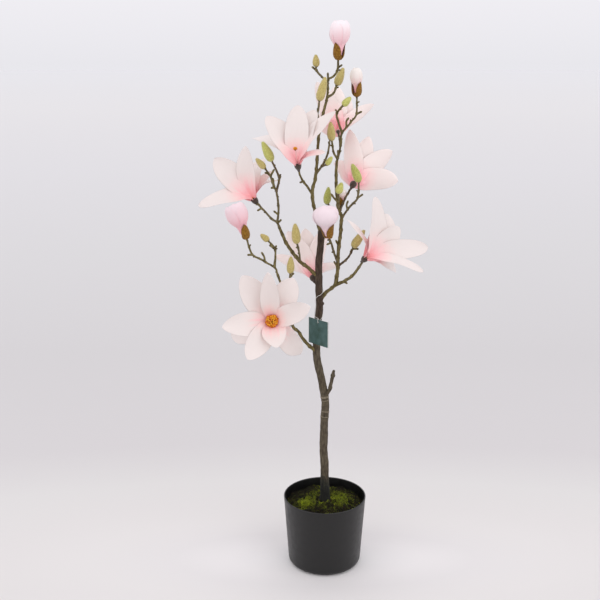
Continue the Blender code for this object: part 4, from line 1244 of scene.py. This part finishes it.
def grow_centre(mass, riser):
    stem = mass.twig(riser, 0.638, [(0.014, 0.000, 0.663), (0.0085, -0.018, 0.684), (0.003, -0.036, 0.697)],
                     [(0.685, (-111, 0.008))])
    mass.half_open(stem, -8, 8, 0.067, 0.0248, (40, -114), -14, blush=-0.55, silk=ROSE)


def grow_right_upper(mass, riser):
    stem = mass.twig(riser, 0.726, [
        (0.040, 0.010, 0.744), (0.050, 0.004, 0.757), (0.059, -0.002, 0.770), (0.060, -0.008, 0.803),
    ], [(0.768, (54, 0.013)), (0.745, (-16, 0.009), (19, 0.008))])
    mass.bud(stem, -23, 3, 0.034, 0.0078, GREEN)


def grow_right_back(mass, riser):
    stem = mass.twig(riser, 0.739, [(0.032, 0.024, 0.755), (0.042, 0.034, 0.772), (0.054, 0.045, 0.791)])
    mass.flower(stem, "right_back", blush=0.19)
    small = mass.twig(stem, 0.742, [(0.025, 0.031, 0.743), (0.028, 0.037, 0.746)])
    mass.half_open(small, 6, 0, 0.036, 0.0088, (-20, 150), 20, blush=0.2, felt=0.64, silk=CREAM)


def grow_mid_left(mass, riser):
    stem = mass.twig(riser, 0.742, [(0.010, 0.027, 0.745), (0.001, 0.034, 0.755)])
    mass.bud(stem, 6, 0, 0.030, 0.0072, GREEN)


def grow_mid(mass, riser):
    stem = mass.twig(riser, 0.747, [(0.023, 0.006, 0.766), (0.022, 0.000, 0.780)],
                     [(0.758, (-45, 0.013), (-35, 0.009))])
    mass.bud(stem, 19, 5, 0.019, 0.0071, LIME)


def grow_upper_right(mass, riser):
    stem = mass.twig(riser, None, [
        (0.024, 0.020, 0.854), (0.027, 0.020, 0.871), (0.028, 0.020, 0.888), (0.045, 0.020, 0.910),
        (0.055, 0.020, 0.924), (0.056, 0.020, 0.957),
    ], [(0.842, (0, 0.015)), (0.900, (-1, 0.012), (34, 0.007)), (0.925, (64, 0.0105))], 0.0025, 0.0018)
    mass.half_open(stem, -3, 0, 0.055, 0.0117, (44, -124), -40, mouth=0.42, blush=0.10, felt=0.88, silk=CREAM)
    low_bud = mass.twig(stem, 0.841, [(0.013, 0.012, 0.853), (0.008, 0.000, 0.880)])
    mass.bud(low_bud, -4, 6, 0.032, 0.0075, TAN)
    back = mass.twig(stem, 0.865, [(0.024, 0.034, 0.879), (0.022, 0.047, 0.891)])
    mass.flower(back, "upper_back", blush=0.19, knob=0.55)
    left = mass.twig(stem, 0.889, [(0.021, 0.012, 0.911), (0.018, 0.008, 0.927), (0.031, 0.000, 0.944)],
                     [(0.926, (-19, 0.008))])
    mass.bud(left, 43, 5, 0.018, 0.0064, LIME)


def grow_upper_left(mass, leader):
    stem = mass.twig(leader, 0.776, [
        (-0.039, -0.008, 0.793), (-0.050, -0.018, 0.810), (-0.056, -0.030, 0.836),
    ], [(0.802, (-112, 0.006))])
    mass.flower(stem, "upper_left", boss=0.36, rise=0.030)


def grow_leader(mass, leader):
    stem = mass.twig(leader, 0.814, [
        (-0.010, 0.002, 0.829), (-0.001, -0.008, 0.848), (0.003, -0.014, 0.868), (0.003, -0.016, 0.875),
    ])
    side = mass.twig(stem, 0.829, [(-0.004, -0.006, 0.832), (0.000, -0.010, 0.835)])
    mass.bud(side, 35, 5, 0.016, 0.0051, LIME)


def grow_tall_bud(mass, leader):
    stem = mass.twig(leader, 0.903, [
        (-0.019, 0.000, 0.923), (-0.017, -0.004, 0.937), (-0.015, -0.006, 0.954),
    ])
    mass.bud(stem, 15, 0, 0.041, 0.0082, TAN)


def grow_top(mass, leader):
    stem = mass.twig(leader, None, [
        (0.001, 0.010, 0.972), (0.001, 0.010, 0.988), (0.011, 0.006, 0.995), (0.018, 0.002, 1.006),
        (0.019, 0.000, 1.024),
    ], [(0.986, (-3, 0.0145)), (1.010, (57, 0.009))])
    mass.half_open(stem, 3, 0, 0.072, 0.0190, (-34, 120), -60, mouth=0.62, blush=0.04)
    right = mass.twig(stem, 0.956, [(0.011, 0.018, 0.963), (0.016, 0.024, 0.973), (0.019, 0.028, 0.981)])
    mass.bud(right, 21, -3, 0.031, 0.0079, TAN)
    left = mass.twig(stem, 0.981, [(-0.009, 0.020, 0.992), (-0.021, 0.026, 1.006), (-0.021, 0.028, 1.015)],
                     [(1.005, (-53, 0.0105))])
    mass.bud(left, -3, 0, 0.019, 0.0064, TAN)


# Each mass, by the limb that carries it and the function that grows it.
SPRAYS = {
    "low_left_spray": ("low_bough", grow_low_left),
    "front_spray": ("low_bough", grow_front),
    "left_spray": ("left_bough", grow_left),
    "left_bud_spray": ("left_bough", grow_left_bud),
    "back_spray": ("trunk", grow_back),
    "right_spray": ("right_bough", grow_right),
    "right_bud_spray": ("riser_bough", grow_right_bud),
    "centre_spray": ("riser_bough", grow_centre),
    "right_upper_spray": ("riser_bough", grow_right_upper),
    "right_back_spray": ("riser_bough", grow_right_back),
    "mid_left_spray": ("riser_bough", grow_mid_left),
    "mid_spray": ("riser_bough", grow_mid),
    "upper_right_spray": ("riser_bough", grow_upper_right),
    "upper_left_spray": ("leader_bough", grow_upper_left),
    "leader_spray": ("leader_bough", grow_leader),
    "tall_bud_spray": ("leader_bough", grow_tall_bud),
    "top_spray": ("leader_bough", grow_top),
}


# The pot and what fills it

def wall_radius(height, inset):
    """The radius of the pot's straight wall at this height, this far in from the outer face."""
    share = (height - POT_FOOT_ROUNDING) / (POT_HEIGHT - POT_FOOT_ROUNDING)
    return POT_FOOT_RADIUS + (POT_RIM_RADIUS - POT_FOOT_RADIUS) * share - inset


def arc(centre_radius, centre_height, reach, first, last):
    """Points of radius and height on an arc, with turns in degrees from straight down, outwards."""
    turns = np.radians(np.linspace(first, last, ARC_STEPS + 1))
    return [(centre_radius + reach * sin(turn), centre_height - reach * cos(turn)) for turn in turns]


def make_pot():
    """The thin moulded pot, with its rounded foot and rounded lip."""
    foot = POT_FOOT_RADIUS - POT_FOOT_ROUNDING
    lip = POT_WALL / 2
    levels = np.linspace(POT_FOOT_ROUNDING, POT_HEIGHT - lip, 30)[1:-1]
    profile = [(0.0001, 0)] + arc(foot, POT_FOOT_ROUNDING, POT_FOOT_ROUNDING, 0, 90)
    profile += [(wall_radius(level, 0), level) for level in levels]
    profile += arc(POT_RIM_RADIUS - lip, POT_HEIGHT - lip, lip, 90, 270)
    profile += [(wall_radius(level, POT_WALL), level) for level in levels[::-1]]
    profile += arc(foot, POT_FOOT_ROUNDING, POT_FOOT_ROUNDING - POT_WALL, 90, 0) + [(0.0001, POT_WALL)]
    turn = 2 * pi * np.arange(POT_SEGMENTS) / POT_SEGMENTS
    radius, height = (np.array(values)[:, None] for values in zip(*profile))
    shape = Shape("pot_shell")
    shape.rings(np.stack(np.broadcast_arrays(radius * np.cos(turn), radius * np.sin(turn), height), axis=-1))
    plastic = Material("pot_plastic", linear((7, 7, 7)), 0.40, Specular_IOR_Level=0.56)
    plastic.colours(plastic.noise(60, 4.0), [(0.35, (4, 4, 4)), (0.7, (10, 9, 9))])
    plastic.roughness(plastic.noise(90, 5.0), 0.33, 0.47)
    plastic.relief(plastic.noise(900, 3.0), 0.00008, 0.35)
    shape.piece([plastic.data], "pot", ["pot"])


def moss_level(radius, turn):
    """The height of the moss: the model's lumpy mound, with finer tufts."""
    radius, turn = np.broadcast_arrays(radius, turn)
    inner = trunk_radius(GROUND) + 2 * GAP
    outer = wall_radius(GROUND, POT_WALL) - 0.001
    lumps = ring_waves(Random("moss"), 6, (2, 9), (40, 160))
    level = MOSS_EDGE + MOSS_RISE * (1 - (np.maximum(radius, inner) / outer) ** 2)
    level = level + MOSS_LUMP / 2 * wave_sum(lumps, radius, turn)
    places = np.stack([radius * np.cos(turn), radius * np.sin(turn), 0 * radius], axis=-1)
    tufts = np.abs(rough(places, waves(3, 9, 180, 620)))
    return level + MOSS_TUFT * (0.55 - tufts)


def moss_patches(places):
    """The number of the moss's tint at each place, out of MOSS_TINTS."""
    patch = 0.5 * rough(places, waves(11, 8, 60, 210)) + 0.9 * rough(places, waves(12, 8, 350, 900))
    # Painted shade: the moss takes darker tints towards the pot's wall, which shades it.
    wall_shade = np.clip((np.linalg.norm(places, axis=-1) - 0.040) / 0.036, 0, 1)

    def near(spots):
        reaches = [((places - np.array(spot)) ** 2).sum(axis=-1) for spot in spots]
        return sum(np.exp(-reach / MOSS_SPOT_RADIUS ** 2) for reach in reaches)

    greenness_and_wall_shade = patch - 0.9 * wall_shade + 0.9 * near(MOSS_SPOTS) - 0.8 * near(MOSS_GAPS)
    return np.digitize(greenness_and_wall_shade, [-1.1, -0.3, 0.35, 0.9])


def make_moss():
    """A lumpy cushion, darkened with painted shade, under a tangle of fine strands, in patches of green and
    brown.
    """
    inner = trunk_radius(GROUND) * 0.8
    outer = wall_radius(MOSS_EDGE, POT_WALL) - 0.0004
    radius = np.linspace(outer, inner, MOSS_RINGS)[:, None]
    turn = (2 * pi * np.arange(MOSS_SEGMENTS) / MOSS_SEGMENTS)[None, :]
    level = moss_level(radius, turn)
    top = np.stack(np.broadcast_arrays(radius * np.cos(turn), radius * np.sin(turn), level), axis=-1)
    under = top[[-1, 0]].copy()
    under[..., 2] = GROUND + GAP
    points = np.concatenate([under[1:], top, under[:1]])
    cushion = Shape("moss_cushion")
    # The cushion takes only the darkest tints: painted shade deep among the strands.
    shades = np.clip(moss_patches(points[:-1] * [1, 1, 0]) - 2, 0, 2)
    cushion.add(points, grid_faces(len(points), MOSS_SEGMENTS), shades.reshape(-1))
    strands = Shape("moss_strands")
    add_strands(strands, inner, outer)
    felts = {f"moss_{number}": ([0.8 * value for value in tint], tint, 0.03)
             for number, tint in enumerate(MOSS_TINTS)}
    mosses = felt_materials(felts, 0.0004)
    cushion.piece(mosses, "moss", ["moss"])
    strands.piece(mosses, "moss")


def add_strands(shape, inner, outer):
    """Curved three-sided strands that lie over the cushion."""
    rule = np.random.default_rng(7)
    count = MOSS_STRANDS
    radius = np.sqrt(rule.uniform((inner + 0.004) ** 2, (outer - 0.002) ** 2, count))
    turn = rule.uniform(0, 2 * pi, count)
    heading = rule.uniform(0, 2 * pi, count)
    bend = rule.normal(0, 1.3, count)
    length = rule.uniform(*STRAND_LENGTHS, count)
    rise = rule.uniform(*STRAND_RISES, count)
    step = np.linspace(0, 1, STRAND_ROWS)[None, :]
    ways = heading[:, None] + bend[:, None] * step
    moves = length[:, None] / STRAND_ROWS
    x = (radius * np.cos(turn))[:, None] + np.cumsum(np.cos(ways) * moves, axis=1)
    y = (radius * np.sin(turn))[:, None] + np.cumsum(np.sin(ways) * moves, axis=1)
    reach = np.hypot(x, y)
    held = np.clip(reach, inner + 0.0015, outer - 0.0008) / reach
    x, y = x * held, y * held
    z = moss_level(np.hypot(x, y), np.arctan2(y, x)) + 0.0004 + rise[:, None] * np.sin(pi * step) ** 0.8
    centre = np.stack([x, y, z], axis=-1)
    thick = rule.uniform(*STRAND_RADII, count)[:, None] * (1.05 - step ** 3)
    beside = np.stack([-np.sin(ways), np.cos(ways), 0 * ways], axis=-1)
    rings = []
    for corner in range(3):
        spoke = cos(2 * pi * corner / 3) * beside + sin(2 * pi * corner / 3) * np.array([0, 0, 1])
        rings.append(centre + thick[..., None] * spoke)
    points = np.stack(rings, axis=2)
    faces = grid_faces(STRAND_ROWS, 3)[None] + (3 * STRAND_ROWS) * np.arange(count)[:, None, None]
    shade = moss_patches(centre[:, 0] * [1, 1, 0]) + rule.integers(-2, 3, count) * (rule.random(count) < 0.7)
    shade = np.repeat(np.clip(shade, 0, len(MOSS_TINTS) - 1), len(faces[0]))
    shape.add(points, faces.reshape(-1, 4), shade)


def finish_filling():
    """The cast weight under the moss."""
    cast = Material("cast_filling", linear((88, 74, 60)), 0.95)
    cast.colours(cast.noise(180, 5.0), [(0.35, (66, 54, 42)), (0.7, (104, 90, 74))])
    cast.relief(cast.noise(600, 4.0), 0.0005, 0.8)
    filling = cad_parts["pot_filling"]
    filling.data.materials.clear()
    filling.data.materials.append(cast.data)


# The tag and its thread

def make_tag():
    """A blank card with a punched hole, its paper core showing along its edges. Returns the hole's place."""
    shape = bmesh.new()
    half_width, half_height = TAG_WIDTH / 2, TAG_HEIGHT / 2
    hole_height = half_height - TAG_HOLE_DROP
    corners = [(-half_width, -half_height), (half_width, -half_height), (half_width, half_height),
               (-half_width, half_height)]
    turns = [2 * pi * step / TAG_HOLE_SIDES for step in range(TAG_HOLE_SIDES)]
    hole = [(TAG_HOLE_RADIUS * cos(turn), hole_height + TAG_HOLE_RADIUS * sin(turn)) for turn in turns]
    loops = []
    for outline in (corners, hole):
        loops.append([shape.verts.new((x, -TAG_THICKNESS / 2, z)) for x, z in outline])
    edges = [shape.edges.new(pair) for loop in loops for pair in zip(loop, loop[1:] + loop[:1])]
    bmesh.ops.triangle_fill(shape, use_beauty=True, edges=edges)
    back = bmesh.ops.extrude_face_region(shape, geom=list(shape.faces))
    moved = [item for item in back["geom"] if isinstance(item, bmesh.types.BMVert)]
    bmesh.ops.translate(shape, vec=(0, TAG_THICKNESS, 0), verts=moved)
    bmesh.ops.recalc_face_normals(shape, faces=shape.faces)
    for face in shape.faces:
        face.material_index = 0 if abs(face.normal.y) > 0.9 else 1
    for side in (-1, 1):
        strip = bmesh.ops.create_cube(shape, size=1)["verts"]
        bmesh.ops.scale(shape, vec=(TAG_MARGIN, TAG_THICKNESS + 2 * TAG_PRINT, TAG_HEIGHT), verts=strip)
        bmesh.ops.translate(shape, vec=(side * (half_width - TAG_MARGIN / 2), 0, 0), verts=strip)
        for face in {face for vert in strip for face in vert.link_faces}:
            face.material_index = 1
    mesh = bpy.data.meshes.new("tag_card")
    shape.to_mesh(mesh)
    shape.free()
    hanging = Matrix.Translation(TAG_CENTRE) @ Matrix.Rotation(TAG_TURN, 4, "Z")
    mesh.transform(hanging)
    add_piece(mesh, tag_materials(), ["tag"])
    return hanging @ Vector((0, 0, hole_height))


def tag_materials():
    """The print on the card's faces, and its paper core."""
    card = Material("tag_print", linear((56, 84, 78)), 0.55)
    card.colours(card.noise(70, 3.0), [(0.35, (44, 74, 66)), (0.7, (70, 100, 98))])
    card.relief(card.noise(2000, 2.0), 0.00005, 0.3)
    core = Material("tag_core", linear((206, 214, 208)), 0.8)
    core.relief(core.noise(3000, 2.0), 0.00005, 0.4)
    return card.data, core.data


def thread_place(trunk, share):
    """The thread's middle at this share of its way round the trunk."""
    first, last = THREAD_TURNS[0][0], THREAD_TURNS[-1][0]
    turn = first + (last - first) * share
    for (start, low), (end, high) in zip(THREAD_TURNS, THREAD_TURNS[1:]):
        if start >= turn >= end:
            stage = (start - turn) / (start - end)
            height = low + (high - low) * stage
            crossing = THREAD_CROSSING * sin(pi * stage) if end == last else 0
    centre = trunk.at(height)
    reach = float(trunk_radius(height)) + THREAD_RADIUS + 2 * GAP + crossing
    return centre + reach * Vector((cos(radians(turn)), sin(radians(turn)), 0))


def make_thread(trunk, hole):
    """A two-ply thread looped round the trunk, over the tag's top edge and through its hole."""
    loop = [thread_place(trunk, step / THREAD_STEPS) for step in range(THREAD_STEPS + 1)]
    across = Matrix.Rotation(TAG_TURN, 3, "Z") @ Vector((0, 1, 0))
    clear = TAG_THICKNESS / 2 + THREAD_RADIUS + 2 * GAP
    behind = hole + Vector((0, 0, THREAD_SEAT)) + THREAD_BEHIND * across
    edge = hole + Vector((0, 0, TAG_HOLE_DROP))
    over = edge + Vector((0, 0, clear))
    loop.append(loop[-1].lerp(behind, 0.5) + Vector((0, 0, -0.0004)))
    loop += [behind, behind - THREAD_BEHIND * across, behind - (THREAD_BEHIND + clear) * across]
    loop += [edge - clear * across, over, over.lerp(loop[0], 0.5) + Vector((0, 0, -0.0002))]
    path = np.array(closed_curve(loop, 0.0004))
    path = np.concatenate([path, path[:1]])
    side, up = frames(path)
    shape = Shape("tag_thread_twist")
    twist = distances(path)[:, None] * 2 * pi / PLY_TURN
    for start in (0, pi):
        ply = path + PLY_OFFSET * (np.cos(twist + start) * side + np.sin(twist + start) * up)
        shape.tube(ply, [PLY_RADIUS] * len(ply), 6)
    white = Material("thread_white", linear((226, 226, 220)), 0.75, Sheen_Weight=0.3)
    white.relief(white.noise(6000, 2.0), 0.00003, 0.4)
    shape.piece([white.data], "thread", ["tag_thread"])


# Camera, floor and light

def make_camera():
    """The camera at the photo's place and angle."""
    data = bpy.data.cameras.new("camera")
    data.sensor_width = 36
    data.lens = CAMERA_LENS
    camera = bpy.data.objects.new("camera", data)
    camera.location = CAMERA_PLACE
    camera.rotation_euler = (pi / 2 + CAMERA_PITCH, 0, 0)
    bpy.context.scene.collection.objects.link(camera)
    bpy.context.scene.camera = camera


def make_floor():
    """A plain pale floor that runs out to the horizon, with painted light that makes it palest round the pot
    and far away.
    """
    shape = bmesh.new()
    bmesh.ops.create_circle(shape, cap_ends=True, segments=128, radius=FLOOR_RADIUS)
    mesh = bpy.data.meshes.new("floor")
    shape.to_mesh(mesh)
    shape.free()
    thing = bpy.data.objects.new("floor", mesh)
    thing.location = (0, 0, -0.0002)
    bpy.context.scene.collection.objects.link(thing)
    first, last = FLOOR_PAINTED_LIGHT[0][0], FLOOR_PAINTED_LIGHT[-1][0]
    pale = Material("floor_painted_light", linear((224, 223, 226)), 0.9, Specular_IOR_Level=0.0)
    squeezed = pale.node("ShaderNodeMapping", {"Vector": pale.place, "Scale": (FLOOR_SQUEEZE, 1, 1)})
    distance = pale.node("ShaderNodeVectorMath", {0: squeezed.outputs["Vector"]}, operation="LENGTH")
    steps = pale.node("ShaderNodeMath", {0: distance.outputs["Value"], 1: 10}, operation="LOGARITHM")
    spread = pale.node("ShaderNodeMapRange", {"Value": steps.outputs["Value"], "From Min": first,
                                              "From Max": last})
    stops = [((reach - first) / (last - first), tint) for reach, tint in FLOOR_PAINTED_LIGHT]
    pale.colours(spread.outputs["Result"], stops)
    mesh.materials.append(pale.data)
    thing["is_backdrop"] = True


def make_light():
    """A pale studio all round, with very wide soft lamps from the sides, the front and behind."""
    scene = bpy.context.scene
    scene.view_settings.view_transform = "Standard"
    scene.world = bpy.data.worlds.new("studio")
    scene.world.use_nodes = True
    studio = Nodes(scene.world.node_tree)
    place = studio.node("ShaderNodeTexCoord").outputs["Generated"]
    upward = studio.node("ShaderNodeSeparateXYZ", {"Vector": place}).outputs["Z"]
    studio.tree.links.new(studio.ramp(upward, STUDIO_TINTS), studio.tree.nodes["Background"].inputs["Color"])
    for name, turn, height, strength in STUDIO_LAMPS:
        data = bpy.data.lights.new(name, "SUN")
        data.energy = strength
        data.angle = LAMP_WIDTH
        lamp = bpy.data.objects.new(name, data)
        turn, height = radians(turn), radians(height)
        way = Vector((sin(turn) * cos(height), -cos(turn) * cos(height), sin(height)))
        lamp.rotation_euler = way.to_track_quat("Z", "Y").to_euler()
        lamp.location = 2 * way
        scene.collection.objects.link(lamp)


def main():
    make_camera()
    make_floor()
    make_light()
    trunk = make_trunk()
    crown = Crown()
    limbs = make_boughs(crown, trunk)
    for name, (carrier, grow) in SPRAYS.items():
        grow(Spray(crown, name, list(limbs.values())), limbs[carrier])
    crown.finish()
    make_pot()
    make_moss()
    finish_filling()
    hole = make_tag()
    make_thread(trunk, hole)
    boxes = {"cad": CAD_BOX, "visual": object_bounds()}
    {name: [list(corner) for corner in box] for name, box in boxes.items()}


main()
